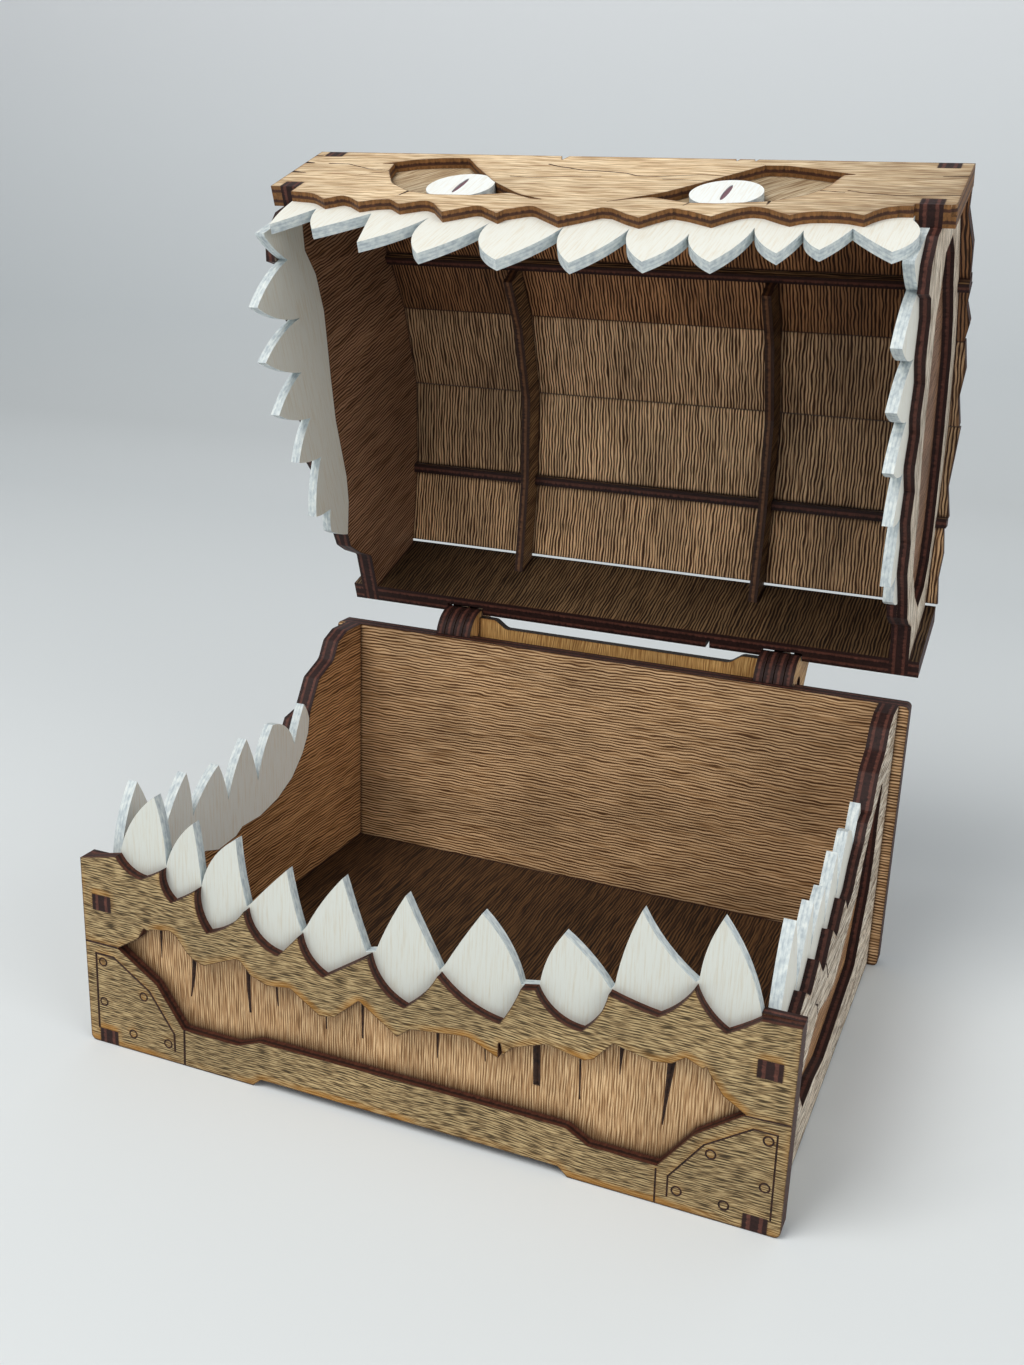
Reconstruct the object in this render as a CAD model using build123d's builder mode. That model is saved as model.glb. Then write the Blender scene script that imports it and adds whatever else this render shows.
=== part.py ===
from build123d import *
from math import atan2, cos, degrees, hypot, radians, sin, sqrt
import os

os.makedirs("parts", exist_ok=True)

# A chest cut from thin plywood, with a jagged mouth lined with teeth, two eyes
# in the lid's brow and a lid that turns on wooden knuckles at the back.
# All sizes are in millimetres. X runs across the front, Y towards the back and
# Z up. The origin lies on the ground under the middle of the front face.

# Overall sizes of the box
box_width = 200.0
box_depth = 150.0
front_height = 57.0
wall_height = 89.5
floor_top = 8.4
ply = 3.0
side_inset = 3.3

# Sizes of the lid, measured up from its own lower edge
lid_gap = 0.8
brow_height = 30.3
block_rise = 1.9
crown_height = 52.0
corner_drop = 2.5
upper_tooth_drop = 44.2
open_angle = 69.93

# Tabs that lock the sides into the front and back boards
foot_tab = 4.4
upper_tab_base = 42.0
upper_tab_height = 4.75
rear_tab_base = 66.0
rear_tab_height = 10.0
lid_tab_base = 26.0
lid_mouth_tab = 1.7
lid_rear_tab = 4.4
floor_tab = 20.0
base_relief = 2.4
base_relief_half = 46.0
base_relief_slant = 2.7
foot_round = 1.6

# Hinge
hinge_back = 7.4
hinge_drop = 2.7
knuckle_clearance = 0.4
knuckle_gap = 0.3
stack_start = 50.0
pin_radius = 2.85
pin_clearance = 0.05
pin_recess = 1.0
arm_length = 14.0
arm_thickness = 5.0
arm_tab = 6.0
leaf_clearance = 0.35
leaf_depth = 8.0
leaf_dip = 2.8
leaf_raised = 6.0
leaf_slope = 4.0

# Eyes
eye_radius = 10.0
eye_spread = 39.3
eye_height = 2.4
pupil_length = 12.0
pupil_width = 1.7
pupil_depth = 0.3

# Roof of the lid
plank_gap = 0.05
stringer_play = 0.1
block_gap = 0.25
stringer_sink = 2.5
rib_depth = 9.0
rib_left = -44.0
rib_right = 41.5
rib_foot_depth = 9.5
crack_width = 1.5
crack_height = 6.0

# Places that follow from the sizes above
half_width = box_width / 2
block_height = brow_height + block_rise
side_outer = half_width - side_inset
side_joint = side_outer - ply
side_inner = side_joint - ply
front_inner = 2 * ply
back_joint = box_depth - ply
back_inner = box_depth - 2 * ply
lid_base = wall_height + lid_gap
axis_y = box_depth + hinge_back
axis_z = wall_height - hinge_drop
axis_fall = lid_gap + hinge_drop
knuckle_radius = hinge_back + ply - knuckle_clearance
stack_pitch = ply + knuckle_gap
tab_thick = side_outer - side_inner
tab_middle = (side_outer + side_inner) / 2

# The lid stands open. It is laid out shut and turned about the hinge.
lid_turn = (
    Location((0, axis_y, axis_z))
    * Location((0, 0, 0), (-open_angle, 0, 0))
    * Location((0, -axis_y, -axis_z))
)


# Planes of the boards, with the ply growing to the back or to the right
def front_plane(y):
    return Plane.XZ.offset(-y)


def side_plane(x):
    return Plane.YZ.offset(x)


def turned(plane):
    return Plane(lid_turn * plane.location)


def lid_front_plane(y):
    return turned(Plane(origin=(0, y, lid_base), x_dir=(1, 0, 0), z_dir=(0, -1, 0)))


def lid_side_plane(x):
    return turned(Plane(origin=(x, 0, lid_base), x_dir=(0, 1, 0), z_dir=(1, 0, 0)))


# The jagged outlines stretch with the board that they are cut in. Across the
# front they are given in hundredths of half the width, along the sides in
# hundred-and-fiftieths of the depth.
def across(x):
    return x / 100 * half_width


def along(y):
    return y / 150 * box_depth


# Heights on the box: to 57 they belong to the front, from there to the wall
def rise(z):
    if z <= 57:
        return z / 57 * front_height
    return front_height + (z - 57) / 32.5 * (wall_height - front_height)


# Heights on the lid: teeth below, then the brow, then the roof
def lid_rise(z):
    if z <= 0:
        return z / 44.2 * upper_tooth_drop
    if z <= 30.3:
        return z / 30.3 * brow_height
    return brow_height + (z - 30.3) / 21.7 * (crown_height - brow_height)


def on_front(points):
    return [(across(p[0]), rise(p[1]), *p[2:]) for p in points]


def on_side(points):
    return [(along(p[0]), rise(p[1]), *p[2:]) for p in points]


def on_brow(points):
    return [(across(p[0]), lid_rise(p[1]), *p[2:]) for p in points]


def on_lid_side(points):
    return [(along(p[0]), lid_rise(p[1]), *p[2:]) for p in points]


# A line through points, where a third number rounds the corner
def line_through(points, close=False):
    corners = points if close else points[1:-1]
    radii = [p[2] if len(p) > 2 else 0 for p in corners]
    flat = [(p[0], p[1]) for p in points]
    return FilletPolyline(*flat, radius=radii, close=close)


# A shallow arc from a to b that swells to the left by a share of its length
def bow(a, b, swell):
    run = (b[0] - a[0], b[1] - a[1])
    middle = ((a[0] + b[0]) / 2, (a[1] + b[1]) / 2)
    return ThreePointArc(a, (middle[0] - run[1] * swell, middle[1] + run[0] * swell), b)


# A line of such arcs, where a third number is the swell from there to the next point
def bowed_through(points):
    for a, b in zip(points, points[1:]):
        if len(a) > 2 and a[2]:
            bow(a[:2], b[:2], a[2])
        else:
            Line(a[:2], b[:2])


# Front of the box
scallops = on_front([
    (-88.1, 59.7, -0.13), (-80.0, 54.6, -0.023), (-73.6, 58.4, -0.151), (-70.5, 49.8, -0.022),
    (-62.5, 55.2, -0.116), (-59.4, 43.2, -0.082), (-47.5, 52.4, -0.18), (-37.3, 41.9, -0.006),
    (-31.2, 48.8, -0.13), (-23.8, 38.9, -0.002), (-10.7, 48.0, -0.14), (-0.2, 36.0, -0.053),
    (9.0, 47.4, -0.09), (26.2, 38.6, -0.03), (31.5, 49.6), (35.3, 50.4, -0.146),
    (47.6, 42.2, -0.083), (53.9, 53.9, -0.02), (66.3, 51.2, -0.071), (74.6, 60.7, -0.087),
    (82.8, 51.2, -0.017), (90.5, 56.6),
])
front_hole = on_front([
    (-76.6, 23.2), (-89.2, 31.6), (-82.0, 36.2), (-79.8, 40.0), (-78.6, 39.2), (-77.3, 40.1),
    (-71.5, 41.1), (-69.8, 40.3), (-65.9, 35.6), (-63.6, 34.0), (-60.7, 33.1),
    (-49.7, 38.0, 2), (-45.8, 33.9), (-40.9, 32.1), (-33.8, 33.1), (-24.9, 27.2),
    (-20.4, 28.0), (-13.2, 34.7), (-2.1, 27.2), (1.9, 30.3), (17.6, 32.6, 4), (26.2, 28.8),
    (26.1, 33.1), (26.7, 33.3), (27.4, 29.8), (29.7, 32.7), (38.6, 36.2, 3), (48.8, 34.5, 1),
    (51.2, 35.5), (55.8, 41.1), (65.9, 39.0), (70.5, 39.8), (73.8, 42.3), (78.1, 40.4),
    (78.9, 41.2), (79.5, 39.9), (83.3, 34.7), (89.1, 31.2), (77.4, 22.3), (68.7, 10.7),
    (50.9, 10.7), (44.9, 14.1), (4.9, 14.2), (-43.8, 13.9), (-50.7, 11.1), (-68.4, 11.2),
])
gum_line = on_front([
    (-88.6, 50.0), (-84.0, 46.5), (-70.0, 46.0), (-58.0, 40.0), (-37.0, 37.5),
    (-23.4, 36.5), (0.7, 33.6), (26.6, 34.8), (48.0, 39.0), (58.0, 46.0),
    (83.0, 47.0), (90.0, 50.0),
])
front_tips = on_front([
    (-88.6, 59.4, 0.087), (-76.6, 78.3, 0.041), (-73.7, 58.6, 0.074), (-64.6, 73.0, 0.016),
    (-62.5, 55.0, 0.104), (-51.3, 71.1, -0.022), (-48.4, 52.4), (-47.1, 53.6, 0.008),
    (-36.0, 65.6, -0.019), (-31.8, 48.8), (-30.2, 50.8, 0.03), (-19.5, 66.9, -0.007),
    (-12.7, 47.6), (-9.9, 48.4, 0.023), (-1.5, 66.1, -0.005), (8.3, 47.6), (9.6, 49.2, 0.011),
    (19.5, 66.0, 0.074), (30.5, 49.0), (35.3, 49.9, 0.067), (41.0, 65.5, 0.044),
    (53.5, 53.7), (54.4, 54.9, 0.033), (60.0, 76.1, -0.059), (74.0, 60.9),
    (74.8, 61.8, 0.054), (79.2, 78.3, 0.057), (89.9, 56.7),
])


# The slots that the side tabs pass through, on both ends of a board
def cut_slots(heights):
    for low, high in heights:
        with Locations((-tab_middle, (low + high) / 2), (tab_middle, (low + high) / 2)):
            Rectangle(tab_thick, high - low, mode=Mode.SUBTRACT)


# The shallow recess under the front, with slanted ends
def cut_relief():
    half, slant = across(base_relief_half), base_relief_slant
    Polygon((-half - slant, -base_relief), (half + slant, -base_relief),
            (half - slant, base_relief), (slant - half, base_relief),
            align=None, mode=Mode.SUBTRACT)


# The lower part of a front board, from one end of its top edge to the other
def foot_line(start, end):
    line_through([start, (half_width, front_height), (half_width, 0, foot_round),
                  (-half_width, 0, foot_round), (-half_width, front_height), end])


box_slots = [(0, foot_tab), (upper_tab_base, upper_tab_base + upper_tab_height)]
box_rear_slots = [(0, foot_tab), (rear_tab_base, rear_tab_base + rear_tab_height)]
lid_slots = [(-corner_drop, lid_mouth_tab), (lid_tab_base, brow_height)]
lid_rear_slots = [(0, lid_rear_tab), (lid_tab_base - ply, block_height - ply)]

with BuildPart() as front_frame:
    with BuildSketch(front_plane(0)):
        with BuildLine():
            bowed_through(scallops)
            foot_line(scallops[-1][:2], scallops[0][:2])
        make_face()
        with BuildLine():
            line_through(front_hole, close=True)
        make_face(mode=Mode.SUBTRACT)
        cut_relief()
        cut_slots(box_slots)
    extrude(amount=-ply)
front_frame.part.label = "front_frame"
export_step(front_frame.part, "parts/front_frame.step")

with BuildPart() as front_panel:
    with BuildSketch(front_plane(ply)):
        with BuildLine():
            line_through([(gum_line[0][0], front_height)] + gum_line
                         + [(gum_line[-1][0], front_height)])
            foot_line((gum_line[-1][0], front_height), (gum_line[0][0], front_height))
        make_face()
        cut_relief()
        cut_slots(box_slots)
        with Locations((-across(40), floor_top - ply / 2), (across(40), floor_top - ply / 2)):
            Rectangle(floor_tab, ply, mode=Mode.SUBTRACT)
    extrude(amount=-ply)
front_panel.part.label = "front_panel"
export_step(front_panel.part, "parts/front_panel.step")

with BuildPart() as front_teeth:
    with BuildSketch(front_plane(ply)):
        with BuildLine():
            bowed_through(front_tips)
            line_through([front_tips[-1][:2]] + gum_line[::-1] + [front_tips[0][:2]])
        make_face()
    extrude(amount=-ply)
front_teeth.part.label = "front_teeth"
export_step(front_teeth.part, "parts/front_teeth.step")

# Sides of the box
wall_step = on_side([
    (134.0, 89.5, 4), (127.8, 87.0, 3), (124.3, 81.2, 4), (114.4, 77.3, 2), (108.4, 67.8),
])
side_scallops = on_side([
    (101.6, 66.6), (98.4, 61.9), (91.4, 57.5), (86.6, 51.9, 2), (79.0, 50.0), (73.0, 55.5),
    (64.0, 48.5, 3), (55.5, 54.6), (46.5, 46.5, 3), (37.0, 55.0), (29.0, 49.3, 3),
    (21.0, 54.4), (12.0, 50.5, 3),
])
side_hole = on_side([
    (24.0, 26.0), (31.0, 28.0), (46.0, 36.0, 6), (57.0, 33.0, 6), (69.0, 31.5, 4),
    (79.0, 37.0), (97.5, 46.0, 8), (102.0, 54.0), (113.0, 63.0), (124.0, 70.5),
    (126.6, 70.0), (126.0, 58.0), (127.0, 47.0), (125.0, 36.0, 8), (118.0, 26.0),
    (111.0, 16.0), (103.0, 15.0), (93.0, 13.8), (78.6, 12.0), (65.0, 10.5),
    (50.0, 13.0), (36.0, 13.0),
])
side_gum_line = on_side([
    (107.5, 65.2), (106.6, 60.4), (102.7, 54.2), (95.9, 48.0), (86.7, 43.9),
    (76.0, 41.8), (65.7, 42.2), (62.0, 40.4), (52.3, 39.7), (45.6, 42.0), (30.0, 42.5),
    (15.0, 47.5),
])
side_gum_front = (front_inner, rise(48.0))
side_tips = on_side([
    (14.5, 76.0, 0.04), (24.0, 52.0, 0.065), (37.3, 70.5, 0.04), (39.8, 55.8, 0.065),
    (53.8, 67.2, 0.04), (58.5, 53.9, 0.065), (69.3, 70.4, 0.04), (75.3, 54.2, 0.065),
    (84.7, 70.2, 0.16), (97.7, 59.3, 0.03), (104.2, 71.4, 0.065), (107.5, 65.2),
])
first_belly = 0.065


# The tabs of a side board: they reach through the front and the back boards
def add_tabs(start, end, front_heights, rear_heights):
    for low, high in front_heights:
        with Locations((start + front_inner / 2, (low + high) / 2)):
            Rectangle(front_inner, high - low)
    for low, high in rear_heights:
        with Locations((end + front_inner / 2, (low + high) / 2)):
            Rectangle(front_inner, high - low)


for side, x in (("left", -side_outer), ("right", side_joint)):
    with BuildPart() as side_frame:
        with BuildSketch(side_plane(x)):
            with BuildLine():
                line_through([(front_inner, 0), (back_inner, 0), (back_inner, wall_height)]
                             + wall_step + side_scallops + [(front_inner, rise(54.0))],
                             close=True)
            make_face()
            with BuildLine():
                line_through(side_hole, close=True)
            make_face(mode=Mode.SUBTRACT)
            add_tabs(0, back_inner, box_slots, box_rear_slots)
        extrude(amount=ply)
    side_frame.part.label = "side_frame_" + side
    export_step(side_frame.part, "parts/side_frame_" + side + ".step")

for side, x in (("left", -side_joint), ("right", side_inner)):
    with BuildPart() as side_panel:
        with BuildSketch(side_plane(x)):
            with BuildLine():
                line_through([(front_inner, 0), (back_inner, 0), (back_inner, wall_height)]
                             + wall_step + side_gum_line + [side_gum_front], close=True)
            make_face()
            add_tabs(0, back_inner, box_slots, box_rear_slots)
            for y in (along(45), along(105)):
                with Locations((y, floor_top - ply / 2)):
                    Rectangle(floor_tab, ply, mode=Mode.SUBTRACT)
        extrude(amount=ply)
    side_panel.part.label = "side_panel_" + side
    export_step(side_panel.part, "parts/side_panel_" + side + ".step")

    with BuildPart() as side_teeth:
        with BuildSketch(side_plane(x)):
            with BuildLine():
                Line(side_gum_front, (front_inner, rise(56.0)))
                bow((front_inner, rise(56.0)), side_tips[0][:2], first_belly)
                bowed_through(side_tips)
                line_through(side_gum_line + [side_gum_front])
            make_face()
        extrude(amount=ply)
    side_teeth.part.label = "side_teeth_" + side
    export_step(side_teeth.part, "parts/side_teeth_" + side + ".step")

# Floor, held by tabs in the inner boards
with BuildPart() as floor:
    with BuildSketch(Plane.XY.offset(floor_top - ply)):
        with Locations((0, (front_inner + back_inner) / 2)):
            Rectangle(2 * side_inner, back_inner - front_inner)
        with Locations((-across(40), box_depth / 2), (across(40), box_depth / 2)):
            Rectangle(floor_tab, box_depth - 2 * ply)
        with Locations((0, along(45)), (0, along(105))):
            Rectangle(2 * side_joint, floor_tab)
    extrude(amount=ply)
floor.part.label = "floor"
export_step(floor.part, "parts/floor.step")

# Back of the box: two full boards, the outer one let in round the knuckles
stack_width = 4 * ply + 3 * knuckle_gap
stack_middle = stack_start + stack_width / 2
notch_reach = knuckle_radius + knuckle_clearance
notch_rise = sqrt(notch_reach**2 - hinge_back**2)
notch_width = stack_width + 2 * knuckle_gap
tab_drop = knuckle_radius + arm_length / 2

with BuildPart() as back_wall:
    with BuildSketch(front_plane(back_inner)):
        with Locations((0, wall_height / 2)):
            RectangleRounded(box_width, wall_height, foot_round)
        cut_slots(box_rear_slots)
        with Locations((-across(40), floor_top - ply / 2), (across(40), floor_top - ply / 2)):
            Rectangle(floor_tab, ply, mode=Mode.SUBTRACT)
    extrude(amount=-ply)
back_wall.part.label = "back_wall"
export_step(back_wall.part, "parts/back_wall.step")

# Middles of the plates in a stack, from the inside out: box, lid, box, lid
plate_middles = [stack_start + ply / 2 + number * stack_pitch for number in range(4)]

with BuildPart() as rear_board:
    with BuildSketch(front_plane(back_joint)):
        with Locations((0, wall_height / 2)):
            RectangleRounded(box_width, wall_height, foot_round)
        cut_slots(box_rear_slots)
        notch_low = axis_z - notch_rise
        notch_tall = 2 * (wall_height - notch_low)
        with Locations((-stack_middle, wall_height), (stack_middle, wall_height)):
            Rectangle(notch_width, notch_tall, mode=Mode.SUBTRACT)
        for middle in (plate_middles[0], plate_middles[2]):
            with Locations((-middle, axis_z - tab_drop), (middle, axis_z - tab_drop)):
                Rectangle(ply, arm_tab, mode=Mode.SUBTRACT)
    extrude(amount=-ply)
rear_board.part.label = "rear_board"
export_step(rear_board.part, "parts/rear_board.step")

# Hinge plates of the box: a ring about the axis and an arm down the rear board
for side, sign in (("left", -1), ("right", 1)):
    for place, middle in (("inner", plate_middles[0]), ("outer", plate_middles[2])):
        with BuildPart() as box_knuckle:
            with BuildSketch(side_plane(sign * middle - ply / 2)):
                with Locations((axis_y, axis_z)):
                    Circle(knuckle_radius)
                with BuildLine():
                    Polyline(
                        (box_depth, axis_z),
                        (box_depth, axis_z - knuckle_radius - arm_length),
                        (box_depth + arm_thickness, axis_z - knuckle_radius - arm_length),
                        (axis_y + knuckle_radius * cos(radians(20)),
                         axis_z - knuckle_radius * sin(radians(20))),
                        (axis_y, axis_z),
                        (box_depth, axis_z),
                    )
                make_face()
                with Locations((box_depth - ply / 2, axis_z - tab_drop)):
                    Rectangle(ply, arm_tab)
                with Locations((axis_y, axis_z)):
                    Circle(pin_radius, mode=Mode.SUBTRACT)
            extrude(amount=ply)
        box_knuckle.part.label = "box_knuckle_" + side + "_" + place
        export_step(box_knuckle.part, "parts/box_knuckle_" + side + "_" + place + ".step")

# Board between the two stacks, glued to their inner plates. Its raised ends
# stop the open lid just behind the upright.
block_corner = hypot(hinge_back, axis_fall)
leaf_top = sqrt((block_corner - leaf_clearance) ** 2 - (ply / 2) ** 2)
with BuildPart() as hinge_leaf:
    with BuildSketch(front_plane(axis_y - ply / 2)):
        with BuildLine():
            line_through([
                (-stack_start, axis_z - leaf_depth),
                (-stack_start, axis_z + leaf_top),
                (-stack_start + leaf_raised, axis_z + leaf_top, 3),
                (-stack_start + leaf_raised + leaf_slope, axis_z + leaf_top - leaf_dip, 3),
                (stack_start - leaf_raised - leaf_slope, axis_z + leaf_top - leaf_dip, 3),
                (stack_start - leaf_raised, axis_z + leaf_top, 3),
                (stack_start, axis_z + leaf_top),
                (stack_start, axis_z - leaf_depth),
            ], close=True)
        make_face()
    extrude(amount=-ply)
hinge_leaf.part.label = "hinge_leaf"
export_step(hinge_leaf.part, "parts/hinge_leaf.step")

pin_length = stack_width - 2 * pin_recess
for side, start in (("left", -stack_start - stack_width + pin_recess),
                    ("right", stack_start + pin_recess)):
    with BuildPart() as hinge_pin:
        with BuildSketch(side_plane(start)):
            with Locations((axis_y, axis_z)):
                Circle(pin_radius)
        extrude(amount=pin_length)
    hinge_pin.part.label = "hinge_pin_" + side
    export_step(hinge_pin.part, "parts/hinge_pin_" + side + ".step")

# Brow: the front of the lid, with the jagged upper lip and two eyes
lip = on_brow([
    (-90.7, -6.6), (-82.5, -7.6, 8), (-76.6, -12.2), (-72.3, -8.7, 1.5), (-69.3, -10.0),
    (-64.4, -13.9), (-60.0, -11.4, 6), (-55.9, -10.6, 2), (-51.2, -14.5), (-44.5, -10.6, 3),
    (-41.2, -12.6), (-35.5, -19.4), (-27.7, -13.7, 2), (-25.8, -14.0), (-19.1, -19.0),
    (-18.0, -16.2), (-11.4, -12.0, 3), (-0.8, -20.2), (3.3, -16.9), (8.8, -12.0, 1.5),
    (11.8, -12.4), (17.2, -16.4), (21.4, -18.8), (24.0, -15.4), (28.0, -10.8, 2),
    (33.0, -12.5, 8), (40.3, -16.3), (41.9, -14.0), (46.0, -9.4, 5), (49.0, -7.9, 2),
    (52.2, -8.4, 3), (57.2, -11.8), (60.2, -13.5), (62.3, -11.6, 4), (65.0, -10.4, 4),
    (70.3, -9.8, 12), (74.3, -10.1, 8), (78.7, -11.9), (80.5, -8.6, 6), (82.8, -5.8, 4),
    (86.1, -4.2, 4), (89.6, -4.0),
])
left_eye = on_brow([
    (-73.1, 20.0), (-69.9, 21.3), (-63.1, 24.6, 12), (-55.9, 26.0, 12), (-47.1, 26.7, 1),
    (-41.3, 19.1), (-30.5, 6.4, 20), (-18.9, -3.3, 12), (-10.5, -7.0), (-14.1, -6.5),
    (-21.6, -2.5, 4), (-32.6, -5.3, 8), (-44.5, -5.6, 12), (-53.3, -3.5, 8), (-61.8, 3.1, 8),
    (-68.0, 13.8, 6), (-69.3, 20.2),
])
right_eye = on_brow([
    (8.6, -7.3), (14.6, -3.8), (22.0, 0.8, 15), (31.6, 11.0, 20), (44.3, 25.2, 1),
    (50.6, 25.3, 8), (58.3, 23.1, 12), (70.4, 19.1), (67.4, 18.3), (65.4, 10.2, 2),
    (63.8, 6.3), (60.5, 1.9), (52.6, -3.5, 8), (39.5, -6.3, 12), (31.0, -6.3, 6),
    (19.9, -2.8, 5), (14.6, -4.6),
])
lid_gum_line = on_brow([
    (-80.0, -5.0), (-60.0, -8.3), (-45.0, -9.0), (-30.0, -10.0), (-12.0, -9.7),
    (9.0, -9.8), (30.0, -9.2), (40.0, -9.0), (49.6, -6.6), (62.0, -8.0), (70.0, -6.0),
    (82.0, -4.5),
])
upper_tips = on_brow([
    (-91.0, -6.5, -0.03), (-87.7, -25.7, -0.02), (-79.7, -11.8, -0.06), (-72.4, -28.1, -0.02),
    (-60.5, -14.1), (-53.8, -36.4, -0.06), (-41.3, -15.8, -0.11), (-32.7, -42.4, -0.05),
    (-21.8, -18.2, -0.13), (-9.2, -44.2, -0.05), (0.4, -19.1, -0.09), (10.9, -44.1, -0.05),
    (18.8, -18.7, -0.09), (29.4, -41.2, -0.07), (35.7, -20.9, -0.09), (46.4, -39.5, -0.05),
    (51.4, -14.9, -0.08), (61.2, -31.9, -0.03), (64.3, -15.4, -0.09), (71.1, -28.5, -0.03),
    (76.2, -13.1, -0.02), (88.6, -27.9, -0.17), (89.8, -5.6),
])
gum_ends = ((upper_tips[0][0], -corner_drop), (upper_tips[-1][0], -corner_drop))
# Nicks in the brow's top edge: place across, width and depth
brow_nicks = ((-17.1, 2.4, 3.4), (35.2, 1.2, 1.7), (40.6, 1.2, 1.7))

with BuildPart() as brow_frame:
    with BuildSketch(lid_front_plane(0)):
        with BuildLine():
            line_through([(half_width, brow_height), (-half_width, brow_height),
                          (-half_width, -corner_drop), (lip[0][0], -corner_drop)] + lip
                         + [(lip[-1][0], -corner_drop), (half_width, -corner_drop, foot_round)],
                         close=True)
        make_face()
        with BuildLine():
            line_through(left_eye, close=True)
        make_face(mode=Mode.SUBTRACT)
        with BuildLine():
            line_through(right_eye, close=True)
        make_face(mode=Mode.SUBTRACT)
        for place, width, depth in brow_nicks:
            middle, half = across(place), width / 2
            Polygon((middle - half, brow_height + 1), (middle - half, brow_height),
                    (middle, brow_height - depth), (middle + half, brow_height),
                    (middle + half, brow_height + 1), align=None, mode=Mode.SUBTRACT)
        cut_slots(lid_slots)
    extrude(amount=-ply)
brow_frame.part.label = "brow_frame"
export_step(brow_frame.part, "parts/brow_frame.step")

# The roof's inner line, seen from the side, and its slope at each plank
roof = on_lid_side([(4.2, 30.3), (39.5, 46.3), (60.2, 51.6), (88.8, 52.0), (118.5, 43.0),
                    (144.5, 30.2)])
planks = ("a", "b", "c", "d", "e")


def roof_height(y):
    for a, b in zip(roof, roof[1:]):
        if y <= b[0] or b is roof[-1]:
            return a[1] + (y - a[0]) / (b[0] - a[0]) * (b[1] - a[1])


def slope_of(number):
    a, b = roof[number], roof[number + 1]
    length = hypot(b[0] - a[0], b[1] - a[1])
    return length, (b[0] - a[0]) / length, (b[1] - a[1]) / length


with BuildPart() as brow_panel:
    with BuildSketch(lid_front_plane(ply)):
        with BuildLine():
            line_through([(half_width, brow_height), (-half_width, brow_height),
                          (-half_width, -corner_drop), gum_ends[0]] + lid_gum_line
                         + [gum_ends[1], (half_width, -corner_drop)], close=True)
        make_face()
        cut_slots(lid_slots)
    extrude(amount=-ply)
brow_panel.part.label = "brow_panel"
export_step(brow_panel.part, "parts/brow_panel.step")

with BuildPart() as lid_front_teeth:
    with BuildSketch(lid_front_plane(ply)):
        with BuildLine():
            bowed_through(upper_tips)
            line_through([upper_tips[-1][:2], gum_ends[1]] + lid_gum_line[::-1]
                         + [gum_ends[0], upper_tips[0][:2]])
        make_face()
    extrude(amount=-ply)
lid_front_teeth.part.label = "lid_front_teeth"
export_step(lid_front_teeth.part, "parts/lid_front_teeth.step")

# Eyeballs: discs that fill the sockets to the brow's face, cut by the lower lid
for side, sign, socket in (("left", -1, left_eye), ("right", 1, right_eye)):
    middle = (sign * across(eye_spread), lid_rise(eye_height))
    with BuildPart() as eye:
        with BuildSketch(lid_front_plane(0)):
            with BuildLine():
                line_through(socket, close=True)
            make_face()
            with Locations(middle):
                Circle(eye_radius, mode=Mode.INTERSECT)
        extrude(amount=-ply)
        with BuildSketch(lid_front_plane(0)):
            with Locations(middle):
                Ellipse(pupil_width / 2, pupil_length / 2)
        extrude(amount=-pupil_depth, mode=Mode.SUBTRACT)
    eye.part.label = "eye_" + side
    export_step(eye.part, "parts/eye_" + side + ".step")

# Sides of the lid
lid_lip = on_lid_side([
    (10.7, -16.0), (17.3, -18.0), (20.5, -12.8), (26.6, -10.8), (37.0, -14.5, 3),
    (44.5, -11.5), (52.5, -16.0, 3), (58.5, -14.0), (65.9, -20.0, 3), (75.0, -15.8),
    (82.5, -20.0, 3), (91.5, -16.0), (100.5, -18.3, 2), (106.6, -15.5), (115.5, -12.0),
    (120.5, -11.2, 2), (125.2, -7.0), (131.0, 0.0, 2),
])
lid_side_gum = on_lid_side([
    (10.6, -3.8), (18.4, -5.2), (27.3, -1.6), (39.5, -0.9), (47.4, -2.1), (60.0, -4.2),
    (75.1, -6.2), (95.9, -6.2), (104.7, -7.9), (114.9, -12.3),
])
lid_step = on_lid_side([(120.0, -12.0, 2), (125.5, -6.9), (131.0, 0.0, 2)])
lid_side_tips = on_lid_side([
    (7.0, -25.0, -0.04), (17.5, -15.5, -0.065), (24.0, -36.2, -0.07), (36.0, -15.0, -0.065),
    (40.5, -38.0, -0.05), (51.6, -20.4, -0.065), (58.2, -37.0, -0.06), (67.1, -20.3, -0.065),
    (77.2, -31.8, -0.04), (81.8, -18.9, -0.065), (98.7, -28.6, -0.04), (100.8, -19.6, -0.065),
    (108.2, -21.7, -0.04), (114.9, -12.3),
])
lid_hole = on_lid_side([
    (16.5, 22.0), (24.0, 29.0), (35.0, 33.0), (47.0, 39.0), (60.0, 42.5, 10),
    (75.0, 42.0), (90.0, 41.0), (104.0, 38.5), (117.0, 35.5, 10), (126.0, 31.0),
    (131.5, 24.0, 3), (131.5, 12.0), (122.0, 3.0), (109.0, -5.0), (100.0, -7.0, 8),
    (88.0, -4.0), (69.0, -6.5), (58.0, -5.0), (45.0, -2.5), (38.0, -1.0), (31.0, 0.0),
    (25.0, 6.0), (17.0, 10.0),
])
roof_line = [(back_inner, roof_height(back_inner))] + roof[4:0:-1] \
    + [(front_inner, roof_height(front_inner))]
stringer_corners = (1, 4)


# Unit vector straight out of the roof at one of its corners
def outward(number):
    back, ahead = slope_of(number - 1), slope_of(number)
    out = (-(back[2] + ahead[2]), back[1] + ahead[1])
    return out[0] / hypot(*out), out[1] / hypot(*out)


def cut_stringer_slots():
    for number in stringer_corners:
        out = outward(number)
        with Locations(Location(roof[number][:2] + (0,), (0, 0, degrees(atan2(out[1], out[0]))))):
            Rectangle(2 * stringer_sink, ply, mode=Mode.SUBTRACT)


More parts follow.
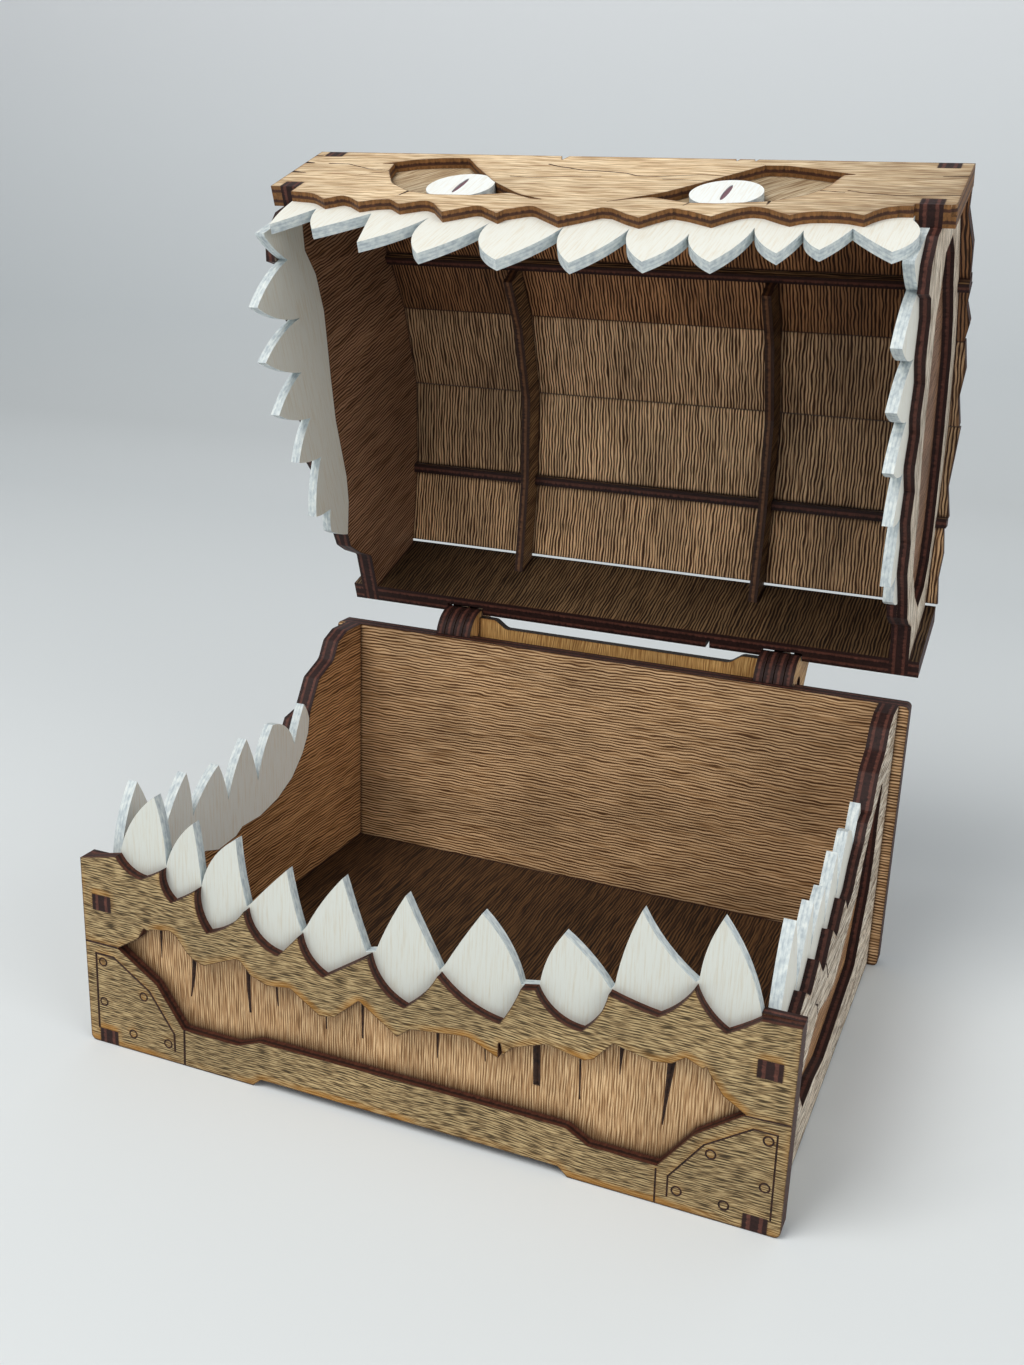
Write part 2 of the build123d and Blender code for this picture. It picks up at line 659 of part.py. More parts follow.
for side, x in (("left", -side_outer), ("right", side_joint)):
    with BuildPart() as lid_side_frame:
        with BuildSketch(lid_side_plane(x)):
            with BuildLine():
                line_through([(front_inner, lid_rise(-8.0))] + lid_lip + [(back_inner, 0)]
                             + roof_line, close=True)
            make_face()
            with BuildLine():
                line_through(lid_hole, close=True)
            make_face(mode=Mode.SUBTRACT)
            add_tabs(0, back_inner, lid_slots, lid_rear_slots)
            cut_stringer_slots()
        extrude(amount=ply)
    lid_side_frame.part.label = "lid_side_frame_" + side
    export_step(lid_side_frame.part, "parts/lid_side_frame_" + side + ".step")

for side, x in (("left", -side_joint), ("right", side_inner)):
    with BuildPart() as lid_side_panel:
        with BuildSketch(lid_side_plane(x)):
            with BuildLine():
                line_through([(front_inner, -corner_drop)] + lid_side_gum + lid_step
                             + [(back_inner, 0)] + roof_line, close=True)
            make_face()
            add_tabs(0, back_inner, lid_slots, lid_rear_slots)
            cut_stringer_slots()
        extrude(amount=ply)
    lid_side_panel.part.label = "lid_side_panel_" + side
    export_step(lid_side_panel.part, "parts/lid_side_panel_" + side + ".step")

    with BuildPart() as lid_side_teeth:
        with BuildSketch(lid_side_plane(x)):
            with BuildLine():
                Line((front_inner, -corner_drop), (front_inner, lid_side_tips[0][1]))
                Line((front_inner, lid_side_tips[0][1]), lid_side_tips[0][:2])
                bowed_through(lid_side_tips)
                line_through(lid_side_gum[::-1] + [(front_inner, -corner_drop)])
            make_face()
        extrude(amount=ply)
    lid_side_teeth.part.label = "lid_side_teeth_" + side
    export_step(lid_side_teeth.part, "parts/lid_side_teeth_" + side + ".step")

# Back of the lid: a block of two boards that stands on the box's back when shut
with BuildPart() as lid_back_inner:
    with BuildSketch(lid_front_plane(back_inner)):
        with Locations((0, block_height / 2)):
            Rectangle(box_width, block_height)
        cut_slots(lid_rear_slots)
    extrude(amount=-ply)
lid_back_inner.part.label = "lid_back_inner"
export_step(lid_back_inner.part, "parts/lid_back_inner.step")

lid_tab_rise = arm_length / 2 + knuckle_radius - axis_fall
with BuildPart() as lid_back_outer:
    with BuildSketch(lid_front_plane(back_joint)):
        with Locations((0, block_height / 2)):
            Rectangle(box_width, block_height)
        cut_slots(lid_rear_slots)
        with Locations((-stack_middle, 0), (stack_middle, 0)):
            Rectangle(notch_width, 2 * (notch_rise - axis_fall), mode=Mode.SUBTRACT)
        for middle in (plate_middles[1], plate_middles[3]):
            with Locations((-middle, lid_tab_rise), (middle, lid_tab_rise)):
                Rectangle(ply, arm_tab, mode=Mode.SUBTRACT)
        with BuildLine():
            Polyline((across(31), -1), (across(31.5), crack_height),
                     (across(31) + crack_width, -1), (across(31), -1))
        make_face(mode=Mode.SUBTRACT)
    extrude(amount=-ply)
lid_back_outer.part.label = "lid_back_outer"
export_step(lid_back_outer.part, "parts/lid_back_outer.step")

# Hinge plates of the lid: a ring about the axis and an arm up the block
for side, sign in (("left", -1), ("right", 1)):
    for place, middle in (("inner", plate_middles[1]), ("outer", plate_middles[3])):
        with BuildPart() as lid_knuckle:
            with BuildSketch(lid_side_plane(sign * middle - ply / 2)):
                with Locations((axis_y, -axis_fall)):
                    Circle(knuckle_radius)
                arm_end = knuckle_radius + arm_length - axis_fall
                with BuildLine():
                    Polyline(
                        (box_depth, -axis_fall),
                        (box_depth, arm_end),
                        (box_depth + arm_thickness, arm_end),
                        (axis_y + knuckle_radius * cos(radians(20)),
                         -axis_fall + knuckle_radius * sin(radians(20))),
                        (axis_y, -axis_fall),
                        (box_depth, -axis_fall),
                    )
                make_face()
                with Locations((box_depth - ply / 2, lid_tab_rise)):
                    Rectangle(ply, arm_tab)
                with Locations((axis_y, -axis_fall)):
                    Circle(pin_radius + pin_clearance, mode=Mode.SUBTRACT)
            extrude(amount=ply)
        lid_knuckle.part.label = "lid_knuckle_" + side + "_" + place
        export_step(lid_knuckle.part, "parts/lid_knuckle_" + side + "_" + place + ".step")

# Roof planks with rough-sawn ends. Each list gives how far the ends stand out
# past the lid, from the plank's lower edge to its upper one.
rough_ends = {
    "a": ((0.0, -0.9, 0.4, -0.6), (-0.3, -1.2, 0.3, -0.2)),
    "b": ((-0.6, 0.3, -1.0, 0.2), (0.2, -0.7, 0.5, -0.8)),
    "c": ((0.3, -0.8, -0.2, 0.4), (-0.5, 0.4, -0.9, 0.1)),
    "d": ((-0.4, 0.5, -0.7, 0.0), (0.4, -0.3, -1.1, 0.3)),
    "e": ((0.2, -0.6, 0.4, -0.9), (-0.8, 0.2, -0.4, 0.5)),
}
for number, name in enumerate(planks):
    length, run, climb = slope_of(number)
    beside_stringer = ply / 2 + stringer_play
    low = beside_stringer if number in stringer_corners else plank_gap
    high = length - (beside_stringer if number + 1 in stringer_corners else plank_gap)
    if name == "e":
        high = length - (roof[-1][0] - back_inner + ply * -climb + block_gap) / run
    steps = [low + (high - low) * part / 3 for part in range(4)]
    left_end = [(-half_width - out, y) for out, y in zip(rough_ends[name][0], steps)]
    right_end = [(half_width + out, y) for out, y in zip(rough_ends[name][1], steps)]
    start = roof[number]
    with BuildPart() as plank:
        with BuildSketch(turned(Plane(origin=(0, start[0], lid_base + start[1]),
                                      x_dir=(1, 0, 0), z_dir=(0, -climb, run)))):
            with BuildLine():
                line_through(left_end + right_end[::-1], close=True)
            make_face()
        extrude(amount=ply)
    plank.part.label = "plank_" + name
    export_step(plank.part, "parts/plank_" + name + ".step")

# Stringers: strips on edge between planks, let into the sides and the ribs
for place, number in zip(("front", "rear"), stringer_corners):
    out = outward(number)
    corner = roof[number]
    with BuildPart() as stringer:
        with BuildSketch(lid_side_plane(-half_width)):
            reach = (ply - stringer_sink) / 2
            with Locations(Location((corner[0] + out[0] * reach, corner[1] + out[1] * reach, 0),
                                    (0, 0, degrees(atan2(out[1], out[0]))))):
                Rectangle(ply + stringer_sink, ply)
        extrude(amount=box_width)
    stringer.part.label = "stringer_" + place
    export_step(stringer.part, "parts/stringer_" + place + ".step")


# Ribs: bent boards under the planks, from the back block to the front stringer
def inside(number, depth):
    out = outward(number)
    return roof[number][0] - out[0] * depth, roof[number][1] - out[1] * depth


first = slope_of(1)
rib_start = (roof[1][0] + first[1] * ply / 2, roof[1][1] + first[2] * ply / 2)
rib_under = (rib_start[0] + first[2] * rib_depth, rib_start[1] - first[1] * rib_depth)
for side, x in (("left", rib_left), ("right", rib_right)):
    with BuildPart() as rib:
        with BuildSketch(lid_side_plane(across(x) - ply / 2)):
            with BuildLine():
                Polyline(rib_start, roof[2][:2], roof[3][:2], roof[4][:2],
                         (back_inner, roof_height(back_inner)),
                         (back_inner, roof_height(back_inner) - rib_foot_depth),
                         inside(4, rib_depth), inside(3, rib_depth), inside(2, rib_depth),
                         rib_under, rib_start)
            make_face()
            cut_stringer_slots()
        extrude(amount=ply)
    rib.part.label = "rib_" + side
    export_step(rib.part, "parts/rib_" + side + ".step")
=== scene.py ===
"""A hinged chest of laser-cut plywood with painted teeth, its lid open, dressed for the camera.

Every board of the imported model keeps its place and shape. This script gives each one its
stain or paint, cuts the engraved lines and cracks into the boards that carry them, and sets
the chest on a pale studio sweep under soft light.
"""

import logging
import math
from dataclasses import dataclass, field, replace
from enum import Enum

import bpy
from mathutils import Matrix, Vector


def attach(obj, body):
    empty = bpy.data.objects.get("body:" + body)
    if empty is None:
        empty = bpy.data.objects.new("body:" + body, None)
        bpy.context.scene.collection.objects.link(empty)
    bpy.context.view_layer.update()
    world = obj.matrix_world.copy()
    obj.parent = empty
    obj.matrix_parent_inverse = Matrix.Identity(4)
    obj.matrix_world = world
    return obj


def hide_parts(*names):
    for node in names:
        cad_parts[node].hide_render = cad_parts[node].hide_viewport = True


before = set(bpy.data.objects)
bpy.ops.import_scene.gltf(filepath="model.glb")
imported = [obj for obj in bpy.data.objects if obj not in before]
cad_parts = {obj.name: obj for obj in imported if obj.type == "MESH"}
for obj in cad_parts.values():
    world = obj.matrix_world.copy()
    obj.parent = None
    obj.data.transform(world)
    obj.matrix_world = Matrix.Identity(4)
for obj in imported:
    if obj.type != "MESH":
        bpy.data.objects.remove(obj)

LOG = logging.getLogger("chest")
MM = 0.001
PLY_MM = 3.0
# A wave texture at this scale has one band to the unit
BAND_SCALE = 0.314
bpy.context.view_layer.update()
# The lid's turn from shut to the open rest pose, about the hinge's axis at y and z in mm
LID_TURN = math.radians(-69.93)
HINGE_AXIS_MM = (157.4, 86.8)

Piece = bpy.types.Object
Tree = bpy.types.NodeTree
Socket = bpy.types.NodeSocket
Point = tuple[float, float]
Line = tuple[Point, ...]
# A crack's path on the face, and its width in mm at its start and its end
Crack = tuple[Line, float, float]
# How light a board took its finish, in red, green and blue; on some boards it also holds painted light
# and shade
Tone = tuple[float, float, float]


class Grain(Enum):
    """The way a board's face veneer runs, in the closed chest."""

    ACROSS = (1.0, 0.0, 0.0)
    DEEP = (0.0, 1.0, 0.0)
    UPRIGHT = (0.0, 0.0, 1.0)
    SLANTED = (0.6, 0.0, 0.8)


class Part(Enum):
    """The body of the model that a piece moves with."""

    BOX = "box"
    LID = "lid"


def linear(colour: str) -> tuple[float, float, float, float]:
    """Turn an sRGB hex colour into the linear colour that a shader takes.

    Args:
        colour: six hex digits after a hash.

    Returns:
        Red, green, blue and alpha, from 0 to 1.
    """
    parts = [int(colour[i : i + 2], 16) / 255 for i in (1, 3, 5)]
    red, green, blue = (
        p / 12.92 if p <= 0.04045 else ((p + 0.055) / 1.055) ** 2.4 for p in parts
    )
    return red, green, blue, 1.0


def add(tree: Tree, kind: str, sockets: dict | None = None, **settings) -> bpy.types.Node:
    """Add one node, with its settings, its socket values and its links.

    Args:
        tree: the material's node tree.
        kind: the node's type.
        sockets: value or output socket for each input, by name or number.
        settings: properties of the node; stops is a colour ramp's list of place and colour.

    Returns:
        The new node.
    """
    node = tree.nodes.new("ShaderNode" + kind)
    for name, value in settings.items():
        if name == "stops":
            ramp = node.color_ramp
            while len(ramp.elements) < len(value):
                ramp.elements.new(0.5)
            for element, (place, colour) in zip(ramp.elements, value):
                element.position = place
                element.color = linear(colour)
        else:
            setattr(node, name, value)
    for name, value in (sockets or {}).items():
        socket = node.inputs[name]
        if isinstance(value, Socket):
            tree.links.new(value, socket)
        else:
            socket.default_value = value
    return node


@dataclass
class Board:
    """One piece of sheet ply, with the frame that its grain and its veneers follow.

    The frame is u along the grain, v across it and w through the sheet, in millimetres.

    Attributes:
        piece: the board's object.
        grain: the way that its face veneer runs.
        part: the body that it moves with.
        number: a number of its own, which shifts its grain.
        tone: how light it took its finish; on some boards it also holds painted light and shade.
    """

    piece: Piece
    grain: Grain
    part: Part
    number: int
    tone: Tone = (1.0, 1.0, 1.0)

    def axes(self) -> Matrix:
        """Read the board's own frame from where its faces look.

        Returns:
            The rows u, v and w.
        """
        spread = Matrix(((0, 0, 0), (0, 0, 0), (0, 0, 0)))
        for face in self.piece.data.polygons:
            n = face.normal
            for i in range(3):
                for j in range(3):
                    spread[i][j] += face.area * n[i] * n[j]
        # Any start off the main axes turns towards the widest faces' normal
        w = Vector((0.31, 0.52, 0.79))
        rounds = 60
        for _ in range(rounds):
            w = (spread @ w).normalized()
        way = Vector(self.grain.value)
        if self.part is Part.LID:
            way = Matrix.Rotation(LID_TURN, 3, "X") @ way
        u = way - way.dot(w) * w
        if u.length < 0.5:
            u = w.cross(Vector((1, 0, 0)))
        u.normalize()
        return Matrix((u, w.cross(u), w))

    def mapping(self) -> tuple[Vector, Vector]:
        """The turn and the shift that take object coordinates in mm to the board's frame.

        Returns:
            Euler angles, and the shift that puts the board's lower face at w = 0.
        """
        axes = self.axes()
        low = min((axes @ v.co)[2] for v in self.piece.data.vertices) / MM
        # Steps with no common factor cut each board from another place in the veneer
        shift = Vector((self.number * 173.0 % 911.0, self.number * 97.0 % 613.0, -low))
        return Vector(axes.to_euler("XYZ")), shift

    def start(self, material: bpy.types.Material) -> tuple[Tree, Socket, Socket]:
        """Begin this board's material with its own frame.

        Args:
            material: the new material.

        Returns:
            Its tree, the place on the board in mm, and 1 where the surface is a cut edge.
        """
        material.use_nodes = True
        tree = material.node_tree
        tree.nodes.clear()
        turn, shift = self.mapping()
        coords = add(tree, "TexCoord")
        own = {"Scale": (1 / MM,) * 3, "Rotation": turn, "Location": shift}
        place = add(tree, "Mapping", {"Vector": coords.outputs["Object"], **own}).outputs[0]
        looks = {"Vector": coords.outputs["Normal"], "Rotation": turn}
        facing = add(tree, "Mapping", looks, vector_type="VECTOR").outputs[0]
        through = add(tree, "SeparateXYZ", {0: facing}).outputs[2]
        through = add(tree, "Math", {0: through}, operation="ABSOLUTE").outputs[0]
        # Past some 50 degrees from the sheet's normal a surface is a cut edge
        on_edge = add(tree, "Math", {0: through, 1: 0.6}, operation="LESS_THAN").outputs[0]
        return tree, place, on_edge


@dataclass(frozen=True)
class StainedPly:
    """Birch plywood, stained and then laser cut.

    The stain darkens the open pores, so the face shows fine broken lines along the grain
    over slow streaks. The laser chars the cut edge dark red-brown, with the three veneers
    still told apart, and its smoke tints a narrow rim of the face.

    Attributes:
        name: the wood and its stain, which names the material.
        dark, body, light: the grain's dark lines, the wood and its palest fibres.
        pore: the colour of the open pores.
        rim: the smoke's tint along the cuts.
        pitch_mm: how far apart the grain's lines lie.
        fibre_mm: how long a line runs before it breaks.
        wander_mm, wobble_mm: how far it drifts over a board, and shivers between fibres.
        streaks: the share of wide streaks among the fibres.
        break_up: how ragged the lines are.
        rim_mm, rim_share: how wide and how strong the smoke's rim is.
        rim_above: whether only the wood above a cut is tinted, where the smoke rose.
        soot_and_shade_mm, soot: how far sooty darkening and painted shade reach into a sheltered
            corner, or 0, and their colour.
        dusk_mm: where along X a darker end begins and where it is full, or None.
        dusk, dusk_share: the colour that darkens it, a deeper stain on the brow and partly painted
            shade on the planks, and how strongly.
        border_mm: how far the darker end's border strays to either side.
        dusk_both_ends: whether the other end darkens alike.
        blotch, patch_mm: how much slow patches change the face, and their breadth and length.
        spread: how far the noise strays before the darkest or palest colour.
        ripple: how much the regular growth lines show.
        pores: how strongly the pores show.
        roughness: of the bare stained face.
        scorch_and_shadow_mm, nook_shade_mm: how wide the scorched line along a cut is, partly a painted
            shadow line, and how far the painted shade in joints and corners reaches.
        shade_and_char: the colour of both, dark char and painted shade.
        char_dark, char_light: the outer and the middle veneer of a burnt edge.
    """

    name: str
    dark: str
    body: str
    light: str
    pore: str
    rim: str
    pitch_mm: float = 1.0
    fibre_mm: float = 24.0
    wander_mm: float = 0.7
    wobble_mm: float = 0.5
    streaks: float = 0.08
    break_up: float = 2.0
    rim_mm: float = 1.6
    rim_share: float = 0.5
    rim_above: bool = False
    soot_and_shade_mm: float = 0.0
    soot_and_shade: str = "#42260F"
    dusk_mm: tuple[float, float] | None = None
    dusk: str = "#5E4A30"
    dusk_share: float = 0.42
    border_mm: float = 14.0
    dusk_both_ends: bool = False
    blotch: float = 0.16
    patch_mm: tuple[float, float] = (45.0, 90.0)
    spread: float = 0.15
    ripple: float = 0.34
    pores: float = 0.28
    roughness: float = 0.62
    scorch_and_shadow_mm: float = 0.5
    nook_shade_mm: float = 1.5
    shade_and_char: str = "#2B1714"
    char_dark: str = "#2B1714"
    char_light: str = "#57332A"

    def lines(self, tree: Tree, way: Socket, pitch: float, length: float, fine: float) -> Socket:
        """Noise drawn out along the grain.

        Args:
            tree: the material's node tree.
            way: the place on the board in mm, along, across and through.
            pitch: how far apart the lines lie, in mm.
            length: how long they are, in mm.
            fine: how many finer octaves are laid over them.

        Returns:
            The noise, from 0 to 1.
        """
        drawn = add(tree, "Mapping", {"Vector": way, "Scale": (2 / length, 2 / pitch, 0.5)}).outputs[0]
        noise = {"Vector": drawn, "Scale": 1.0, "Detail": fine, "Roughness": 0.5}
        return add(tree, "TexNoise", noise).outputs[0]

    def face(self, tree: Tree, place: Socket, tone: Tone) -> tuple[Socket, Socket]:
        """The stained face: its colour and how high its fibres stand.

        Args:
            tree: the material's node tree.
            place: the place on the board in mm.
            tone: how light this board took the stain, in red, green and blue; on some boards it also
                holds painted light and shade.

        Returns:
            The colour and the height.
        """
        bent = self.bend(tree, place)
        fibre = self.lines(tree, bent, self.pitch_mm * 0.85, self.fibre_mm, 0.5)
        streak = self.lines(tree, bent, self.pitch_mm * 5, self.fibre_mm * 4, 1.0)
        blend = add(tree, "Mix", {0: self.streaks, 2: fibre, 3: streak}, data_type="FLOAT").outputs[0]
        flat = add(tree, "Mapping", {"Vector": bent, "Scale": (2.2 / self.fibre_mm, 1.0, 0.3)})
        growth = {
            "Vector": flat.outputs[0],
            "Scale": BAND_SCALE / self.pitch_mm,
            "Distortion": self.break_up,
            "Detail": 2.0,
            "Detail Scale": 2.2 * self.pitch_mm,
            "Detail Roughness": 0.55,
        }
        ripple = add(tree, "TexWave", growth, bands_direction="Y").outputs[1]
        swing = {0: ripple, 1: 0, 2: 1, 3: -self.ripple / 2, 4: self.ripple / 2}
        ripple = add(tree, "MapRange", swing).outputs[0]
        blend = add(tree, "Math", {0: blend, 1: ripple}, operation="ADD").outputs[0]
        colours = [(0.5 - self.spread, self.dark), (0.5, self.body), (0.5 + self.spread, self.light)]
        wood = add(tree, "ValToRGB", {0: blend}, stops=colours).outputs[0]
        pore = self.lines(tree, bent, self.pitch_mm * 0.6, self.fibre_mm * 0.4, 0.0)
        open_pore = {0: pore, 1: 0.56, 2: 0.68, 3: 0.0, 4: self.pores}
        pore = add(tree, "MapRange", open_pore, interpolation_type="SMOOTHSTEP").outputs[0]
        wood = add(tree, "Mix", {0: pore, 6: wood, 7: linear(self.pore)}, data_type="RGBA").outputs[2]
        patch = self.lines(tree, place, *self.patch_mm, 1.0)
        shade = {0: patch, 1: 0.3, 2: 0.7, 3: 1 - self.blotch, 4: 1 + self.blotch}
        patch = add(tree, "MapRange", shade).outputs[0]
        wood = add(tree, "VectorMath", {0: wood, "Scale": patch}, operation="SCALE").outputs[0]
        # The board's tone, which on some boards is painted light and shade
        wood = add(tree, "VectorMath", {0: wood, 1: tone}, operation="MULTIPLY").outputs[0]
        height = add(tree, "Math", {0: blend, 1: pore}, operation="SUBTRACT").outputs[0]
        return wood, height

    def bend(self, tree: Tree, place: Socket) -> Socket:
        """Let the grain wander slowly across the board and wobble on its way.

        Args:
            tree: the material's node tree.
            place: the place on the board in mm.

        Returns:
            The place, moved across the grain.
        """
        aside = None
        for scale, detail, reach in (
            ((0.012, 0.022, 0.02), 2.0, 3 * self.wander_mm),
            ((0.16, 0.3, 0.1), 1.0, self.wobble_mm),
        ):
            way = add(tree, "Mapping", {"Vector": place, "Scale": scale}).outputs[0]
            noise = add(tree, "TexNoise", {"Vector": way, "Scale": 1.0, "Detail": detail}).outputs[0]
            drift = add(tree, "MapRange", {0: noise, 1: 0, 2: 1, 3: -reach, 4: reach}).outputs[0]
            if aside is not None:
                drift = add(tree, "Math", {0: aside, 1: drift}, operation="ADD").outputs[0]
            aside = drift
        sideways = add(tree, "CombineXYZ", {"Y": aside}).outputs[0]
        return add(tree, "VectorMath", {0: place, 1: sideways}, operation="ADD").outputs[0]

    def smoke(self, tree: Tree, place: Socket, wood: Socket) -> Socket:
        """The laser's smoke and painted shade on the face: a tinted rim, a scorched line partly painted
        as shadow, sooty corners partly painted as shade, and painted shade in joints.

        Args:
            tree: the material's node tree.
            place: the place on the board in mm.
            wood: the stained face's colour.

        Returns:
            The smoked colour, with its painted shade.
        """
        about = {"Distance": self.rim_mm * MM}
        if self.rim_above:
            about["Normal"] = add(tree, "CombineXYZ", {"Y": 0.2, "Z": 1.0}).outputs[0]
        rim = add(tree, "AmbientOcclusion", about, samples=6, inside=True, only_local=True).outputs[1]
        rim = add(tree, "MapRange", {0: rim, 1: 0.99, 2: 0.5, 3: 0.0, 4: self.rim_share}).outputs[0]
        puff = add(tree, "Mapping", {"Vector": place, "Scale": (0.06, 0.06, 0.0)}).outputs[0]
        puff = add(tree, "TexNoise", {"Vector": puff, "Scale": 1.0, "Detail": 2.0}).outputs[0]
        puff = add(tree, "MapRange", {0: puff, 1: 0.38, 2: 0.6, 3: 0.15, 4: 1.0}).outputs[0]
        rim = add(tree, "Math", {0: rim, 1: puff}, operation="MULTIPLY").outputs[0]
        wood = add(tree, "Mix", {0: rim, 6: wood, 7: linear(self.rim)}, data_type="RGBA").outputs[2]
        # A dark line along each cut: partly scorched wood, partly a painted shadow line where one
        # board's edge lies over the next
        line = {"Distance": self.scorch_and_shadow_mm * MM}
        scorch_and_shadow = add(tree, "AmbientOcclusion", line, samples=6, inside=True, only_local=True).outputs[1]
        scorch_and_shadow = add(tree, "MapRange", {0: scorch_and_shadow, 1: 0.85, 2: 0.6, 3: 0.0, 4: 0.8}).outputs[0]
        burnt = {0: scorch_and_shadow, 6: wood, 7: linear(self.shade_and_char)}
        wood = add(tree, "Mix", burnt, data_type="RGBA").outputs[2]
        if self.soot_and_shade_mm:
            wood = self.sooted_and_shaded(tree, wood)
        if self.dusk_mm:
            wood = self.darkened(tree, place, wood)
        # Painted shade: ambient occlusion darkens the face in joints and corners where other boards
        # shelter it
        nook_shade = add(tree, "AmbientOcclusion", {"Distance": self.nook_shade_mm * MM}, samples=6).outputs[1]
        nook_shade = add(tree, "MapRange", {0: nook_shade, 1: 0.85, 2: 0.5, 3: 0.0, 4: 0.8}).outputs[0]
        return add(tree, "Mix", {0: nook_shade, 6: wood, 7: linear(self.shade_and_char)}, data_type="RGBA").outputs[2]

    def sooted_and_shaded(self, tree: Tree, wood: Socket) -> Socket:
        """Darken what is sheltered below and on the left: sooty smoke, and painted shade from an
        occlusion test.

        Args:
            tree: the material's node tree.
            wood: the face's colour.

        Returns:
            The colour with its sooty darkening and painted shade.
        """
        low_left = add(tree, "CombineXYZ", {"X": -0.45, "Y": -0.7, "Z": -0.6}).outputs[0]
        shelter = {"Distance": self.soot_and_shade_mm * MM, "Normal": low_left}
        # Painted shade and sooty smoke: occlusion towards the lower left darkens the panel along its
        # recess
        air = add(tree, "AmbientOcclusion", shelter, samples=10).outputs[1]
        soot_and_shade = add(tree, "MapRange", {0: air, 1: 0.8, 2: 0.45, 3: 0.0, 4: 0.7}).outputs[0]
        return add(tree, "Mix", {0: soot_and_shade, 6: wood, 7: linear(self.soot_and_shade)}, data_type="RGBA").outputs[2]

    def darkened(self, tree: Tree, place: Socket, wood: Socket) -> Socket:
        """Darken towards an end of the board, along a ragged border: a deeper stain, and on the planks
        partly painted shade.

        Args:
            tree: the material's node tree.
            place: the place on the board in mm.
            wood: the face's colour.

        Returns:
            The colour with its darker end.
        """
        coords = add(tree, "TexCoord")
        end = add(tree, "SeparateXYZ", {0: coords.outputs["Object"]}).outputs[0]
        if self.dusk_both_ends:
            end = add(tree, "Math", {0: end}, operation="ABSOLUTE").outputs[0]
        border = self.lines(tree, place, self.pitch_mm * 7, self.fibre_mm * 2, 2.0)
        stray = self.border_mm * MM
        border = add(tree, "MapRange", {0: border, 1: 0.3, 2: 0.7, 3: -stray, 4: stray}).outputs[0]
        end = add(tree, "Math", {0: end, 1: border}, operation="ADD").outputs[0]
        near, far = (edge * MM for edge in self.dusk_mm)
        deep = add(tree, "MapRange", {0: end, 1: near, 2: far, 3: 0.0, 4: self.dusk_share}).outputs[0]
        shade = {0: deep, 6: wood, 7: linear(self.dusk)}
        return add(tree, "Mix", shade, data_type="RGBA", blend_type="MULTIPLY").outputs[2]

    def edge(self, tree: Tree, place: Socket) -> tuple[Socket, Socket]:
        """The charred cut edge: three veneers, each burnt a little differently.

        Args:
            tree: the material's node tree.
            place: the place on the board in mm.

        Returns:
            The colour and the grit of the char.
        """
        depth = add(tree, "SeparateXYZ", {0: place}).outputs[2]
        way = add(tree, "Mapping", {"Vector": place, "Scale": (1.1, 1.1, 0.4)}).outputs[0]
        crumbs = {"Vector": way, "Scale": 1.0, "Detail": 4.0, "Roughness": 0.6}
        grit = add(tree, "TexNoise", crumbs).outputs[0]
        shift = add(tree, "MapRange", {0: grit, 1: 0.3, 2: 0.7, 3: -0.18, 4: 0.18}).outputs[0]
        depth = add(tree, "Math", {0: depth, 1: shift}, operation="ADD").outputs[0]
        depth = add(tree, "Math", {0: depth, 1: PLY_MM}, operation="DIVIDE").outputs[0]
        outer, core = self.char_dark, self.char_light
        veneers = [(0.3, outer), (0.38, core), (0.6, core), (0.68, outer)]
        char = add(tree, "ValToRGB", {0: depth}, stops=veneers).outputs[0]
        tone = add(tree, "MapRange", {0: grit, 1: 0.3, 2: 0.7, 3: 0.55, 4: 1.45}).outputs[0]
        return add(tree, "VectorMath", {0: char, "Scale": tone}, operation="SCALE").outputs[0], grit

    def material(self, board: Board) -> bpy.types.Material:
        """Make this finish for one board.

        Args:
            board: the board that takes it.

        Returns:
            The material, named for the wood and the board.
        """
        material = bpy.data.materials.new(f"{self.name}.{board.piece.name}")
        tree, place, on_edge = board.start(material)
        wood, height = self.face(tree, place, board.tone)
        wood = self.smoke(tree, place, wood)
        char, grit = self.edge(tree, place)
        colour = add(tree, "Mix", {0: on_edge, 6: wood, 7: char}, data_type="RGBA").outputs[2]
        dull, worn = self.roughness + 0.12, self.roughness - 0.06
        rough = add(tree, "MapRange", {0: height, 1: -0.2, 2: 0.6, 3: dull, 4: worn}).outputs[0]
        rough = add(tree, "Mix", {0: on_edge, 2: rough, 3: 0.6}, data_type="FLOAT").outputs[0]
        relief = add(tree, "Mix", {0: on_edge, 2: height, 3: grit}, data_type="FLOAT").outputs[0]
        bump = add(tree, "Bump", {"Strength": 0.4, "Distance": 0.00016, "Height": relief}).outputs[0]
        matt = {"Base Color": colour, "Roughness": rough, "Normal": bump, "Specular IOR Level": 0.25}
        shader = add(tree, "BsdfPrincipled", matt)
        add(tree, "OutputMaterial", {"Surface": shader.outputs[0]})
        return material


